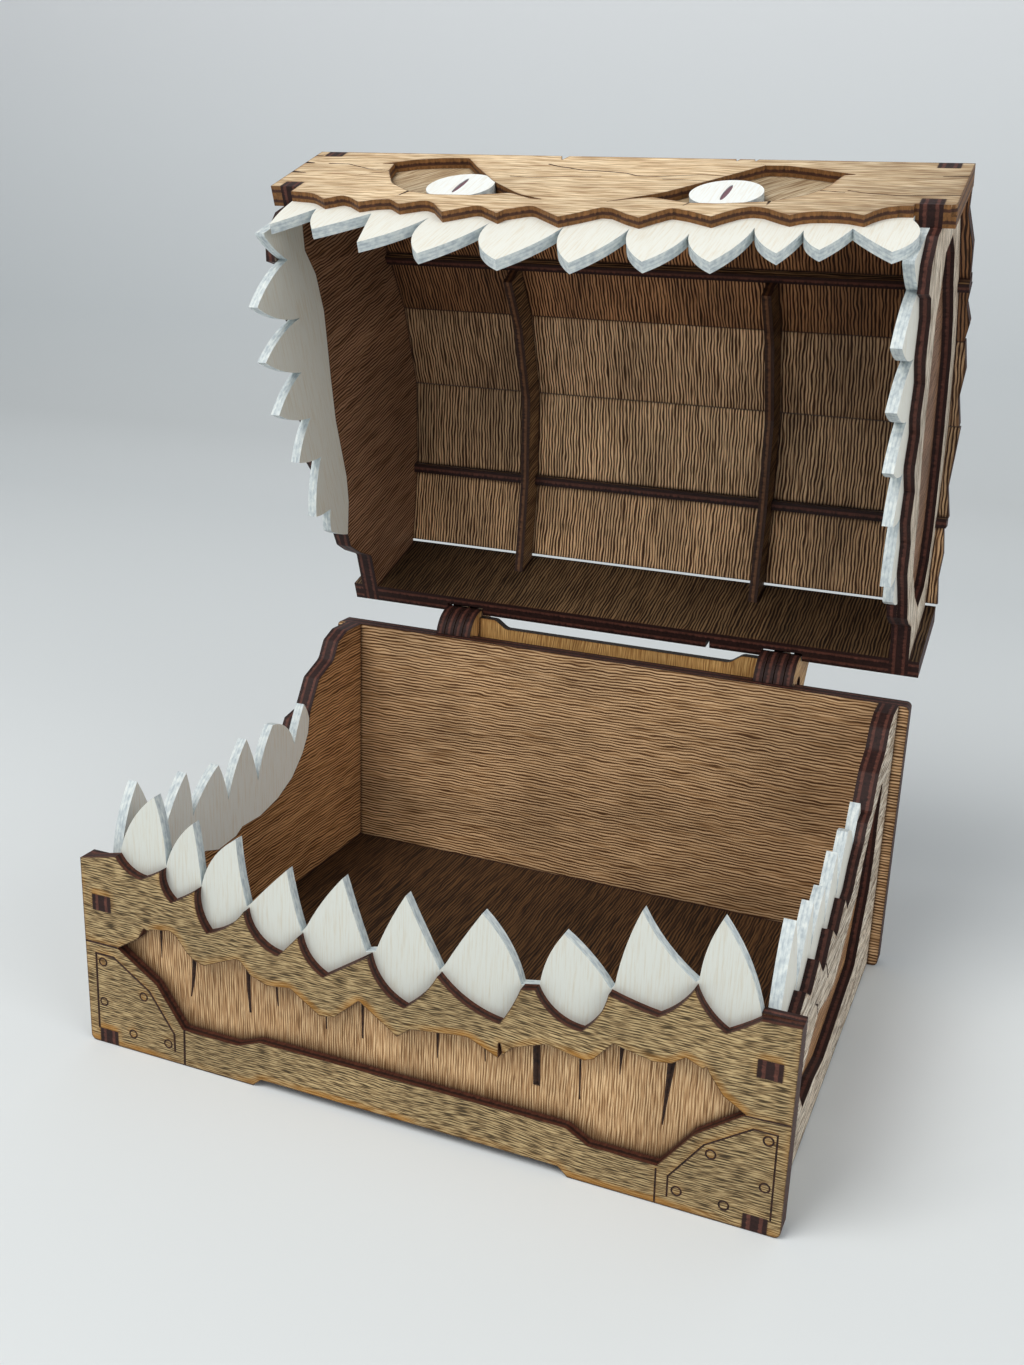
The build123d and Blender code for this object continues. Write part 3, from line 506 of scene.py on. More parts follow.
@dataclass(frozen=True)
class PaintedPly:
    """Plywood brushed with thin white paint.

    The grain shows through the paint as faint warm lines. On the cut edge the paint sinks
    into the char and dries grey, with painted cool shade that makes it blue-grey, darker along
    the glue lines, and it is darkened with painted shade along the gum line. Whatever is cut
    into the face stays bare and burnt.

    Attributes:
        name: the wood and its paint, which names the material.
        face, warm: the paint where it covers and where the grain warms it.
        gum: the painted shade along the gum line, where the paint meets other boards.
        edge, edge_dark, edge_light: the paint on the cut edge, partly painted cool shade, its glue
            lines and its ridges.
        bare: the burnt wood in a cut.
        roughness: of the painted face.
        skin_mm: how deep the paint and its veneer reach, past which a cut is bare.
        gum_shade_mm: how far from another board the painted shade reaches.
    """

    name: str
    face: str = "#F4F4EA"
    warm: str = "#E9E0CB"
    gum: str = "#A9A39B"
    edge: str = "#C9D2D3"
    edge_dark: str = "#A9B4BA"
    edge_light: str = "#E3E8E4"
    bare: str = "#76525A"
    roughness: float = 0.5
    skin_mm: float = 0.2
    gum_shade_mm: float = 3.0

    def material(self, board: Board) -> bpy.types.Material:
        """Make this finish for one board.

        Args:
            board: the board that takes it.

        Returns:
            The material, named for the paint and the board.
        """
        material = bpy.data.materials.new(f"{self.name}.{board.piece.name}")
        tree, place, on_edge = board.start(material)
        way = add(tree, "Mapping", {"Vector": place, "Scale": (0.09, 1.7, 0.3)}).outputs[0]
        fibres = {"Vector": way, "Scale": 1.0, "Detail": 4.0, "Roughness": 0.65}
        grain = add(tree, "TexNoise", fibres).outputs[0]
        tint = add(tree, "MapRange", {0: grain, 1: 0.48, 2: 0.7, 3: 0.0, 4: 0.85}).outputs[0]
        covers = {0: tint, 6: linear(self.face), 7: linear(self.warm)}
        paint = add(tree, "Mix", covers, data_type="RGBA").outputs[2]
        # The board's tone, which on some boards is painted light and shade
        paint = add(tree, "VectorMath", {0: paint, 1: board.tone}, operation="MULTIPLY").outputs[0]
        # Painted shade: occlusion greys the paint near other boards, along the gum line
        air = add(tree, "AmbientOcclusion", {"Distance": self.gum_shade_mm * MM}, samples=8).outputs[1]
        thin = add(tree, "MapRange", {0: air, 1: 0.9, 2: 0.5, 3: 0.0, 4: 0.4}).outputs[0]
        paint = add(tree, "Mix", {0: thin, 6: paint, 7: linear(self.gum)}, data_type="RGBA").outputs[2]
        depth = add(tree, "SeparateXYZ", {0: place}).outputs[2]
        middle = add(tree, "Math", {0: depth, 1: PLY_MM / 2}, operation="SUBTRACT").outputs[0]
        middle = add(tree, "Math", {0: middle}, operation="ABSOLUTE").outputs[0]
        skin = {0: middle, 1: PLY_MM / 2 - self.skin_mm}
        sunk = add(tree, "Math", skin, operation="LESS_THAN").outputs[0]
        paint = add(tree, "Mix", {0: sunk, 6: paint, 7: linear(self.bare)}, data_type="RGBA").outputs[2]
        way = add(tree, "Mapping", {"Vector": place, "Scale": (0.45, 0.45, 0.9)}).outputs[0]
        crumbs = {"Vector": way, "Scale": 1.0, "Detail": 3.0, "Roughness": 0.55}
        grit = add(tree, "TexNoise", crumbs).outputs[0]
        glue = add(tree, "Math", {0: middle, 1: PLY_MM / 6}, operation="SUBTRACT").outputs[0]
        glue = add(tree, "Math", {0: glue}, operation="ABSOLUTE").outputs[0]
        glue = add(tree, "MapRange", {0: glue, 1: 0.0, 2: 0.28, 3: 0.13, 4: 0.0}).outputs[0]
        sink = add(tree, "Math", {0: grit, 1: glue}, operation="SUBTRACT").outputs[0]
        # The cut edge's blue-grey: partly thin paint over the char, partly painted cool shade
        sunk_paint_and_shade = [(0.25, self.edge_dark), (0.48, self.edge), (0.7, self.edge_light)]
        rim = add(tree, "ValToRGB", {0: sink}, stops=sunk_paint_and_shade).outputs[0]
        colour = add(tree, "Mix", {0: on_edge, 6: paint, 7: rim}, data_type="RGBA").outputs[2]
        relief = add(tree, "Mix", {0: on_edge, 2: grain, 3: grit}, data_type="FLOAT").outputs[0]
        bump = add(tree, "Bump", {"Strength": 0.3, "Distance": 0.00012, "Height": relief}).outputs[0]
        satin = {"Roughness": self.roughness, "Specular IOR Level": 0.35}
        shader = add(tree, "BsdfPrincipled", {"Base Color": colour, "Normal": bump, **satin})
        add(tree, "OutputMaterial", {"Surface": shader.outputs[0]})
        return material


@dataclass(frozen=True)
class CharredLine:
    """Wood charred by a slow pass of the laser: matt, almost black, brown where it thins.

    Attributes:
        name: the burnt wood, which names the material.
        dark, light: the thick char and the thin.
        grit_per_mm: how many crumbs of char lie on a millimetre.
    """

    name: str = "laser_charred_birch"
    dark: str = "#24150F"
    light: str = "#4A2E1E"
    grit_per_mm: float = 0.9

    def material(self) -> bpy.types.Material:
        """Make the char that lines every engraved groove.

        Returns:
            The material.
        """
        material = bpy.data.materials.new(self.name)
        material.use_nodes = True
        tree = material.node_tree
        tree.nodes.clear()
        coords = add(tree, "TexCoord").outputs["Object"]
        crumbs = {"Vector": coords, "Scale": self.grit_per_mm / MM, "Detail": 3.0}
        grit = add(tree, "TexNoise", crumbs).outputs[0]
        burnt = [(0.35, self.dark), (0.7, self.light)]
        colour = add(tree, "ValToRGB", {0: grit}, stops=burnt).outputs[0]
        bump = add(tree, "Bump", {"Strength": 0.3, "Distance": 0.0001, "Height": grit}).outputs[0]
        shader = add(tree, "BsdfPrincipled", {"Base Color": colour, "Roughness": 0.8, "Normal": bump})
        add(tree, "OutputMaterial", {"Surface": shader.outputs[0]})
        return material


@dataclass(frozen=True)
class StudioPaper:
    """Smooth matt studio paper: it shows soft shadows and no gloss.

    Its colour runs in one slow gradient, paler where it hangs than where it bends: painted light and
    shade on the paper.

    Attributes:
        name: the paper, which names the material.
        stops: heights in metres, each with its colour of painted light and shade.
        tooth_per_mm: how many bumps of its faint tooth lie on a millimetre.
    """

    name: str
    stops: tuple[tuple[float, str], ...]
    tooth_per_mm: float = 0.9

    def material(self) -> bpy.types.Material:
        """Make the paper, with a very faint tooth.

        Returns:
            The material.
        """
        material = bpy.data.materials.new(self.name)
        material.use_nodes = True
        tree = material.node_tree
        tree.nodes.clear()
        coords = add(tree, "TexCoord").outputs["Object"]
        height = add(tree, "SeparateXYZ", {0: coords}).outputs[2]
        # Painted light and shade: the paper's colour follows its height, darker low in the bend and
        # paler higher up
        colour = add(tree, "ValToRGB", {0: height}, stops=self.stops).outputs[0]
        fine = self.tooth_per_mm / MM
        tooth = add(tree, "TexNoise", {"Vector": coords, "Scale": fine}).outputs[0]
        bump = add(tree, "Bump", {"Strength": 0.04, "Distance": 0.0001, "Height": tooth}).outputs[0]
        matt = {"Roughness": 0.9, "Specular IOR Level": 0.2}
        shader = add(tree, "BsdfPrincipled", {"Base Color": colour, "Normal": bump, **matt})
        add(tree, "OutputMaterial", {"Surface": shader.outputs[0]})
        return material


# Olive water stain: it sinks into the short fibres as greenish dashes, and the laser's smoke
# turns the wood above each cut orange
OLIVE_STAIN = StainedPly(
    name="olive_stained_birch_ply",
    dark="#4A3C26",
    body="#927A55",
    light="#C4AC7F",
    pore="#332C20",
    rim="#A87226",
    pitch_mm=0.7,
    fibre_mm=8.0,
    wander_mm=1.6,
    wobble_mm=0.35,
    break_up=3.0,
    streaks=0.1,
    spread=0.13,
    ripple=0.16,
    pores=0.3,
    rim_mm=2.2,
    rim_share=0.95,
    rim_above=True,
    char_dark="#4A281C",
    char_light="#28140F",
)
# Bleached birch, unstained: pale and silvery, with dark open pores
BLEACHED_PLY = StainedPly(
    name="bleached_birch_ply",
    dark="#8C7A66",
    body="#CFBEA8",
    light="#EADFCD",
    pore="#4A372A",
    rim="#B08A62",
    pitch_mm=1.1,
    fibre_mm=18.0,
    wander_mm=2.0,
    break_up=4.0,
    spread=0.17,
    ripple=0.12,
    pores=0.75,
)
# Thin tan stain: warm and even, the grain barely darker than the wood
TAN_STAIN = StainedPly(
    name="tan_stained_birch_ply",
    dark="#A08260",
    body="#CFB38C",
    light="#EBD5B2",
    pore="#7F6346",
    rim="#A06A34",
    pitch_mm=0.8,
    fibre_mm=16.0,
    wander_mm=2.0,
    streaks=0.08,
    spread=0.15,
    ripple=0.1,
    char_dark="#7A5430",
    char_light="#452A1D",
)
# Pale brown stain on an upright grain: straight fine lines, with sooty darkening and painted shade in
# the lower corners
PANEL_STAIN = StainedPly(
    name="pale_stained_birch_ply",
    dark="#7C5A38",
    body="#BC956B",
    light="#E6C59A",
    pore="#5C4028",
    rim="#8A5A30",
    pitch_mm=0.7,
    fibre_mm=14.0,
    wander_mm=0.3,
    wobble_mm=0.25,
    spread=0.19,
    ripple=0.24,
    soot_and_shade_mm=6.0,
)
# Walnut stain, wiped off: dark long growth lines over lighter ridges
WALNUT_STAIN = StainedPly(
    name="walnut_stained_birch_ply",
    dark="#543820",
    body="#A9845B",
    light="#DEBC92",
    pore="#3E2814",
    rim="#7A4F2A",
    break_up=1.1,
    wobble_mm=0.6,
    spread=0.22,
    ripple=0.56,
    pores=0.2,
)
# Walnut stain over smoked veneer: the same lines with more contrast, darker at both ends, partly by a
# deeper stain and partly by painted shade from the lid's sides
PLANK_STAIN = StainedPly(
    name="smoked_walnut_stained_birch_ply",
    dark="#3E2A19",
    body="#96775A",
    light="#D8BD9C",
    pore="#291A0D",
    rim="#6A4526",
    pitch_mm=1.05,
    fibre_mm=24.0,
    wobble_mm=0.6,
    break_up=1.6,
    ripple=0.6,
    pores=0.4,
    blotch=0.24,
    # Darker ends: partly deeper stain, partly painted shade from the lid's sides
    dusk_mm=(34.0, 58.0),
    dusk_both_ends=True,
)
# Dark stain laid on twice: brown-black, with little of the grain left
DARK_STAIN = StainedPly(
    name="dark_stained_birch_ply",
    dark="#33241A",
    body="#664A33",
    light="#9A7852",
    pore="#20150D",
    rim="#4A3020",
)
# The brow's tan stain, with a browner right end
BROW_STAIN = replace(TAN_STAIN, name="tan_and_dusk_stained_birch_ply", dusk_mm=(58.0, 92.0))
# The hinge's tan stain: black soot on the leaf's edge, red-brown char on the knuckles'
LEAF_STAIN = replace(
    TAN_STAIN, name="tan_stained_sooty_birch_ply", char_dark="#1E1714", char_light="#332A25"
)
KNUCKLE_STAIN = replace(
    TAN_STAIN, name="tan_stained_charred_birch_ply", char_dark="#2B1714", char_light="#57332A"
)
# The last plank's stain, which hardly darkens at the ends, where the darkening is partly painted shade
EAVE_STAIN = replace(PLANK_STAIN, name="lightly_smoked_birch_ply", dusk_share=0.2)
# The ribs' dark stain, worn lighter along their edges
RIB_STAIN = replace(
    DARK_STAIN, name="brown_edged_birch_ply", char_dark="#38241B", char_light="#69462F"
)
# Thin white paint, brushed on: creamy along the grain, cooler and duller on the cut edges
WHITE_PAINT = PaintedPly(name="white_painted_birch_ply")

Finish = StainedPly | PaintedPly
# A board's name, its finish, the way of its grain and its tone
Row = tuple[str, Finish, Grain, float | Tone]


def only(*pieces: Piece) -> None:
    """Select these pieces and nothing else, with the first one active.

    Args:
        pieces: the pieces.
    """
    bpy.ops.object.select_all(action="DESELECT")
    for piece in pieces:
        piece.select_set(True)
    bpy.context.view_layer.objects.active = pieces[0]


@dataclass
class Engraving:
    """Lines cut a short way into one face of a board, and the board that they leave.

    Attributes:
        node: the board's name.
        part: the body that it moves with.
        slot: the record's slot named for its finish; it is not used.
        origin: the place on the face from which the lines' points are measured.
        along, upward: the face's own directions.
        char: the material of the grooves.
        tip_mm: the width at which a line that runs out ends.
        tools: the cutters, one to a stretch of line or a ring.
    """

    node: str
    part: Part
    slot: str
    origin: Vector
    along: Vector
    upward: Vector
    char: bpy.types.Material
    tip_mm: float = 0.05
    tools: list[Piece] = field(default_factory=list)

    def spot(self, point: Point) -> Vector:
        """The place on the face of a point given in mm along and up it."""
        return self.origin + (self.along * point[0] + self.upward * point[1]) * MM

    def line(self, points: Line, width: float = 0.5, end_width: float | None = None) -> None:
        """Add the cutter of one engraved line, a bar with its ridge in the wood.

        Args:
            points: the line's corners, in mm on the face.
            width: the line's width in mm at its start.
            end_width: its width at its end, or None where it stays the same.
        """
        last = width if end_width is None else end_width
        count = len(points) - 1
        outward = self.along.cross(self.upward)
        for number, (a, b) in enumerate(zip(points, points[1:])):
            start, end = self.spot(a), self.spot(b)
            way = (end - start).normalized()
            wide = width + (last - width) * number / count
            narrow = width + (last - width) * (number + 1) / count
            # An even line's stretches overlap, so that its corners close
            reach = 0.3 * wide * MM if width == last else 0.0
            start, end = start - way * reach, end + way * reach
            bpy.ops.object.select_all(action="DESELECT")
            bpy.ops.mesh.primitive_cone_add(
                vertices=4,
                radius1=wide * MM / 2,
                radius2=max(narrow, self.tip_mm) * MM / 2,
                depth=(end - start).length,
            )
            tool = bpy.context.active_object
            turn = Matrix((outward, way.cross(outward), way)).transposed().to_4x4()
            tool.matrix_world = Matrix.Translation((start + end) / 2) @ turn
            bpy.ops.object.transform_apply(location=True, rotation=True, scale=True)
            self.tools.append(tool)

    def ring(self, centre: Point, radius: float = 1.2, width: float = 0.5) -> None:
        """Add the cutter of one engraved ring.

        Args:
            centre: the ring's middle, in mm on the face.
            radius: its radius in mm.
            width: the width of its line in mm.
        """
        bpy.ops.object.select_all(action="DESELECT")
        bpy.ops.mesh.primitive_torus_add(
            major_radius=radius * MM,
            minor_radius=width * MM / 2,
            major_segments=24,
            minor_segments=4,
        )
        tool = bpy.context.active_object
        outward = self.along.cross(self.upward)
        turn = Matrix((self.along, self.upward, outward)).transposed().to_4x4()
        tool.matrix_world = Matrix.Translation(self.spot(centre)) @ turn
        bpy.ops.object.transform_apply(location=True, rotation=True, scale=True)
        self.tools.append(tool)

    def blank(self) -> Piece:
        """Copy the board, with its faces joined at their corners and one empty slot.

        Returns:
            The copy.
        """
        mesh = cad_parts[self.node].data.copy()
        mesh.materials.clear()
        mesh.materials.append(None)
        for face in mesh.polygons:
            face.material_index = 0
        piece = bpy.data.objects.new(self.node + "_engraved", mesh)
        bpy.context.scene.collection.objects.link(piece)
        only(piece)
        bpy.ops.object.mode_set(mode="EDIT")
        bpy.ops.mesh.select_all(action="SELECT")
        bpy.ops.mesh.remove_doubles(threshold=1e-6)
        bpy.ops.object.mode_set(mode="OBJECT")
        return piece

    def cutter(self) -> Piece:
        """Join the tools into one, lined with char.

        Returns:
            The joined tool.
        """
        for tool in self.tools:
            tool.data.materials.clear()
            tool.data.materials.append(self.char)
        only(*self.tools)
        bpy.ops.object.join()
        return bpy.context.active_object

    def cut(self) -> Piece:
        """Cut every line into a copy of the board, which then stands for it.

        Returns:
            The engraved board.
        """
        piece = self.blank()
        cutter = self.cutter()
        only(piece)
        groove = piece.modifiers.new("groove", "BOOLEAN")
        groove.operation = "DIFFERENCE"
        groove.solver = "EXACT"
        groove.use_self = True
        groove.material_mode = "TRANSFER"
        groove.object = cutter
        bpy.ops.object.modifier_apply(modifier=groove.name)
        bpy.data.objects.remove(cutter)
        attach(piece, self.part.value)
        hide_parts(self.node)
        faces, slots = len(piece.data.polygons), len(piece.data.materials)
        LOG.info("engraved %s: %d faces, %d slots", piece.name, faces, slots)
        return piece


def dress(
    piece: Piece,
    finish: Finish,
    grain: Grain,
    part: Part,
    number: int,
    tone: float | Tone = 1.0,
) -> None:
    """Give one piece its finish in its first material slot, or in all of a CAD node's.

    Args:
        piece: the piece.
        finish: its wood or paint.
        grain: the way that its face veneer runs.
        part: the body that it moves with.
        number: a number of its own, which shifts the grain so that no two boards match.
        tone: how light the board took the finish, as one number or in red, green and blue; on some
            boards it also holds painted light and shade.
    """
    shade = tone if isinstance(tone, tuple) else (tone, tone, tone)
    material = finish.material(Board(piece, grain, part, number, shade))
    if piece.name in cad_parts:
        for slot in piece.material_slots:
            slot.material = material
    else:
        piece.material_slots[0].material = material
    LOG.info("dressed %s in %s", piece.name, finish.name)


@dataclass
class LowerBox:
    """The box: its front with the torn panel and the corner plates, sides, back and floor.

    All places are in millimetres, along X or Y and up Z.

    Attributes:
        face_y, panel_y, side_x: where the front, its inner panel and the sides face out.
        left_plate, left_corner, left_rivets: the left corner plate's outline, its short edge
            lines and its rivets.
        right_plate, right_corner, right_rivets: the same on the right.
        panel_cracks, side_cracks: the cracks in the inner panel and in each side.
        left_line_mm: the width of the left plate's lines, which the laser cut wider.
        crack_share: how much wider the panel's cracks are cut than they look from afar.
        first_number: the number of its first board, which shifts the grain.
    """

    face_y: float = 0.0
    panel_y: float = 3.0
    side_x: float = 96.7
    left_plate: Line = (
        (-97.0, 4.6),
        (-96.6, 28.3),
        (-90.7, 28.3),
        (-79.1, 20.5),
        (-71.3, 9.0),
        (-71.3, 3.6),
    )
    left_corner: tuple[Line, ...] = (
        ((-99.6, 31.6), (-89.5, 31.6)),
        ((-67.9, 11.1), (-68.2, 0.4)),
    )
    left_rivets: Line = ((-94.4, 26.0), (-94.8, 13.3), (-81.1, 18.3), (-85.3, 5.3), (-73.5, 5.4))
    right_plate: Line = (
        (71.8, 2.9),
        (71.7, 8.6),
        (79.9, 20.1),
        (91.2, 27.9),
        (97.0, 27.9),
        (97.3, 4.5),
    )
    right_corner: tuple[Line, ...] = (
        ((68.8, 0.4), (68.6, 9.8)),
        ((89.2, 30.9), (99.6, 31.3)),
    )
    right_rivets: Line = ((95.0, 25.8), (81.7, 18.0), (95.2, 12.9), (74.1, 5.1), (85.9, 4.9))
    panel_cracks: tuple[Crack, ...] = (
        (((-76.4, 40.5), (-76.5, 30.3)), 0.8, 0.2),
        (((-65.6, 33.5), (-66.3, 26.0), (-67.2, 20.5)), 1.3, 0.3),
        (((-48.5, 34.0), (-48.4, 27.0), (-48.1, 20.5)), 1.2, 0.5),
        (((-39.8, 32.0), (-39.3, 24.8)), 0.6, 0.3),
        (((-24.5, 27.0), (-24.5, 21.8)), 0.4, 0.3),
        (((-13.6, 34.0), (-13.6, 21.9)), 0.7, 0.4),
        (((8.1, 31.0), (8.2, 22.1)), 0.7, 0.2),
        (((21.3, 30.0), (21.6, 24.8)), 0.4, 0.2),
        (((35.2, 35.0), (35.7, 22.0)), 1.6, 1.5),
        (((46.8, 34.0), (47.2, 21.2)), 0.5, 0.3),
        (((57.3, 40.0), (57.1, 31.2)), 1.0, 0.2),
        (((69.8, 39.0), (69.2, 30.0), (68.6, 20.4)), 1.6, 0.3),
    )
    side_cracks: tuple[Crack, ...] = (
        (((38.4, 41.9), (42.6, 39.4), (45.7, 33.5)), 0.4, 0.8),
        (((46.9, 50.1), (51.0, 46.6), (56.1, 40.4)), 0.5, 0.8),
        (((116.9, 12.6), (117.6, 6.1)), 0.8, 0.3),
    )
    left_line_mm: float = 0.7
    crack_share: float = 1.25
    first_number: int = 1

    def build(self, char: bpy.types.Material) -> dict[str, Piece]:
        """Cut the corner plates and the cracks into the front boards and the sides.

        Args:
            char: the material of the grooves.

        Returns:
            The new pieces by the name of the board each stands for.
        """
        across, up = Vector((1, 0, 0)), Vector((0, 0, 1))
        front, inner = (Vector((0, y * MM, 0)) for y in (self.face_y, self.panel_y))
        plates = Engraving("front_frame", Part.BOX, "olive_wood", front, across, up, char)
        for line in (self.left_plate, *self.left_corner):
            plates.line(line, self.left_line_mm)
        for line in (self.right_plate, *self.right_corner):
            plates.line(line)
        for centre in (*self.left_rivets, *self.right_rivets):
            plates.ring(centre)
        panel = Engraving("front_panel", Part.BOX, "pale_wood", inner, across, up, char)
        for line, width, end_width in self.panel_cracks:
            panel.line(line, self.crack_share * width, self.crack_share * end_width)
        boards = {"front_frame": plates.cut(), "front_panel": panel.cut()}
        for name, way in (("side_frame_left", -1.0), ("side_frame_right", 1.0)):
            outside = Vector((way * self.side_x * MM, 0, 0))
            side = Engraving(name, Part.BOX, "olive_wood", outside, Vector((0, way, 0)), up, char)
            for line, width, end_width in self.side_cracks:
                side.line(tuple((way * y, z) for y, z in line), width, end_width)
            boards[name] = side.cut()
        return boards

    def dress(self, pieces: dict[str, Piece]) -> None:
        """Stain the box's boards and paint its teeth.

        Args:
            pieces: every piece of the chest by its board's name.
        """
        rows: list[Row] = [
            ("front_frame", OLIVE_STAIN, Grain.ACROSS, (0.92, 0.91, 0.89)),
            ("front_panel", PANEL_STAIN, Grain.UPRIGHT, (0.93, 0.91, 0.87)),
            # The white paint takes a different tone on each toothed board: lit and shaded copies,
            # painted light and shade
            ("front_teeth", WHITE_PAINT, Grain.UPRIGHT, (0.75, 0.77, 0.78)),
            ("side_frame_left", BLEACHED_PLY, Grain.DEEP, 1.0),
            ("side_frame_right", BLEACHED_PLY, Grain.DEEP, 1.0),
            # The side panels' tone, redder than the back wall's, is painted warm bounce light on the
            # same walnut stain
            ("side_panel_left", WALNUT_STAIN, Grain.DEEP, (0.8, 0.64, 0.52)),
            ("side_panel_right", WALNUT_STAIN, Grain.DEEP, (0.8, 0.64, 0.52)),
            # Painted light and shade: the same white paint, lighter and bluer on the left teeth and
            # darker on the right
            ("side_teeth_left", WHITE_PAINT, Grain.UPRIGHT, (0.98, 1.0, 1.04)),
            ("side_teeth_right", WHITE_PAINT, Grain.UPRIGHT, 0.9),
            ("back_wall", WALNUT_STAIN, Grain.ACROSS, (1.03, 0.99, 0.96)),
            ("rear_board", WALNUT_STAIN, Grain.ACROSS, (1.03, 0.99, 0.96)),
            ("floor", DARK_STAIN, Grain.DEEP, (0.32, 0.27, 0.24)),
        ]
        for number, (name, finish, grain, tone) in enumerate(rows, self.first_number):
            dress(pieces[name], finish, grain, Part.BOX, number, tone)


def opened(y: float, z: float) -> Vector:
    """Where the open lid holds, in metres, a point that the shut lid has at y and z in mm."""
    axis = Vector((0, *HINGE_AXIS_MM)) * MM
    return Matrix.Rotation(LID_TURN, 3, "X") @ (Vector((0, y, z)) * MM - axis) + axis


@dataclass
class OpenLid:
    """The lid: the brow with its eyes, the sides, the curved planks with their ribs, the back.

    Attributes:
        foot_z: where the brow's lower edge lies when the lid is shut, in millimetres.
        brow_cracks: its cracks, in millimetres along X and up the brow from that edge.
        crack_share: how much wider they are cut than they look from afar.
        planks: each roof plank with its stain and its tone, from the brow to the back; the tones are
            painted shade on planks a and b under the brow and painted light on the lower ones.
        first_number: the number of its first board, which shifts the grain.
    """

    foot_z: float = 90.3
    brow_cracks: tuple[Crack, ...] = (
        (((-91.5, 19.2), (-84.6, 19.1), (-75.6, 15.1), (-68.2, 14.1)), 0.5, 0.2),
        (
            ((-19.7, 22.8), (-16.3, 21.0), (-7.1, 18.0), (0.6, 17.3), (6.6, 16.1), (10.2, 14.2)),
            0.5,
            0.4,
        ),
        (((10.2, 14.2), (17.4, 14.1), (23.7, 15.3), (27.9, 16.3), (35.9, 15.5)), 0.4, 0.2),
        (((-27.4, 11.5), (-20.2, 10.6), (-9.7, 12.0), (0, 12.9)), 0.35, 0.15),
        (((18.5, 12.0), (24.8, 11.7), (32.9, 10.7)), 0.35, 0.15),
        (((63.8, 5.9), (70.5, 4.7)), 0.35, 0.2),
        (((70.9, 6.3), (76.5, 4.5), (84.0, 3.5), (99.8, 4.8)), 0.3, 0.4),
        (((99.8, 19.2), (93.3, 19.0)), 0.6, 0.3),
        (((-99.9, 11.0), (-95.1, 10.4)), 1.2, 0.4),
        (((-99.9, 19.8), (-96.8, 19.4)), 1.2, 0.5),
        (((-99.9, 26.4), (-97.4, 26.6)), 0.7, 0.3),
    )
    crack_share: float = 1.2
    # Lit and shaded copies of one stain: planks a and b darkened as painted shade under the brow, c to
    # e lightened as painted light
    planks: tuple[tuple[str, StainedPly, Tone], ...] = (
        ("plank_a", PLANK_STAIN, (0.68, 0.44, 0.3)),
        ("plank_b", PLANK_STAIN, (0.72, 0.49, 0.35)),
        ("plank_c", PLANK_STAIN, (1.16, 1.02, 0.9)),
        ("plank_d", PLANK_STAIN, (1.42, 1.28, 1.12)),
        ("plank_e", EAVE_STAIN, (1.33, 1.15, 0.96)),
    )
    first_number: int = 21

    def build(self, char: bpy.types.Material) -> dict[str, Piece]:
        """Cut the cracks into the brow.

        Args:
            char: the material of the grooves.

        Returns:
            The new piece by the name of the board that it stands for.
        """
        foot, across = opened(0, self.foot_z), Vector((1, 0, 0))
        upward = Matrix.Rotation(LID_TURN, 3, "X") @ Vector((0, 0, 1))
        brow = Engraving("brow_frame", Part.LID, "tan_wood", foot, across, upward, char)
        for line, width, end_width in self.brow_cracks:
            brow.line(line, self.crack_share * width, self.crack_share * end_width)
        return {"brow_frame": brow.cut()}

    def dress(self, pieces: dict[str, Piece]) -> None:
        """Stain the lid's boards and paint its teeth and eyes.

        Args:
            pieces: every piece of the chest by its board's name.
        """
        rows: list[Row] = [
            ("brow_frame", BROW_STAIN, Grain.ACROSS, 1.08),
            ("brow_panel", TAN_STAIN, Grain.SLANTED, 0.68),
            # The white paint takes a different tone on the eyes and each toothed board: lit and shaded
            # copies, painted light and shade
            ("eye_left", WHITE_PAINT, Grain.UPRIGHT, (1.02, 1.05, 1.12)),
            ("eye_right", WHITE_PAINT, Grain.UPRIGHT, (1.02, 1.05, 1.12)),
            ("lid_front_teeth", WHITE_PAINT, Grain.UPRIGHT, 0.95),
            ("lid_side_frame_left", BLEACHED_PLY, Grain.DEEP, 0.95),
            ("lid_side_frame_right", BLEACHED_PLY, Grain.DEEP, 0.95),
            ("lid_side_panel_left", WALNUT_STAIN, Grain.UPRIGHT, (0.49, 0.4, 0.41)),
            ("lid_side_panel_right", WALNUT_STAIN, Grain.UPRIGHT, (0.49, 0.4, 0.41)),
            ("lid_side_teeth_left", WHITE_PAINT, Grain.DEEP, 0.8),
            ("lid_side_teeth_right", WHITE_PAINT, Grain.DEEP, 0.9),
            ("lid_back_inner", PLANK_STAIN, Grain.UPRIGHT, (0.35, 0.29, 0.22)),
            ("lid_back_outer", PLANK_STAIN, Grain.ACROSS, 0.6),
            ("rib_left", RIB_STAIN, Grain.UPRIGHT, 1.0),
            ("rib_right", RIB_STAIN, Grain.UPRIGHT, 1.0),
            ("stringer_front", DARK_STAIN, Grain.ACROSS, 1.0),
            ("stringer_rear", DARK_STAIN, Grain.ACROSS, 1.0),
            *((name, finish, Grain.DEEP, tone) for name, finish, tone in self.planks),
        ]
        for number, (name, finish, grain, tone) in enumerate(rows, self.first_number):
            dress(pieces[name], finish, grain, Part.LID, number, tone)


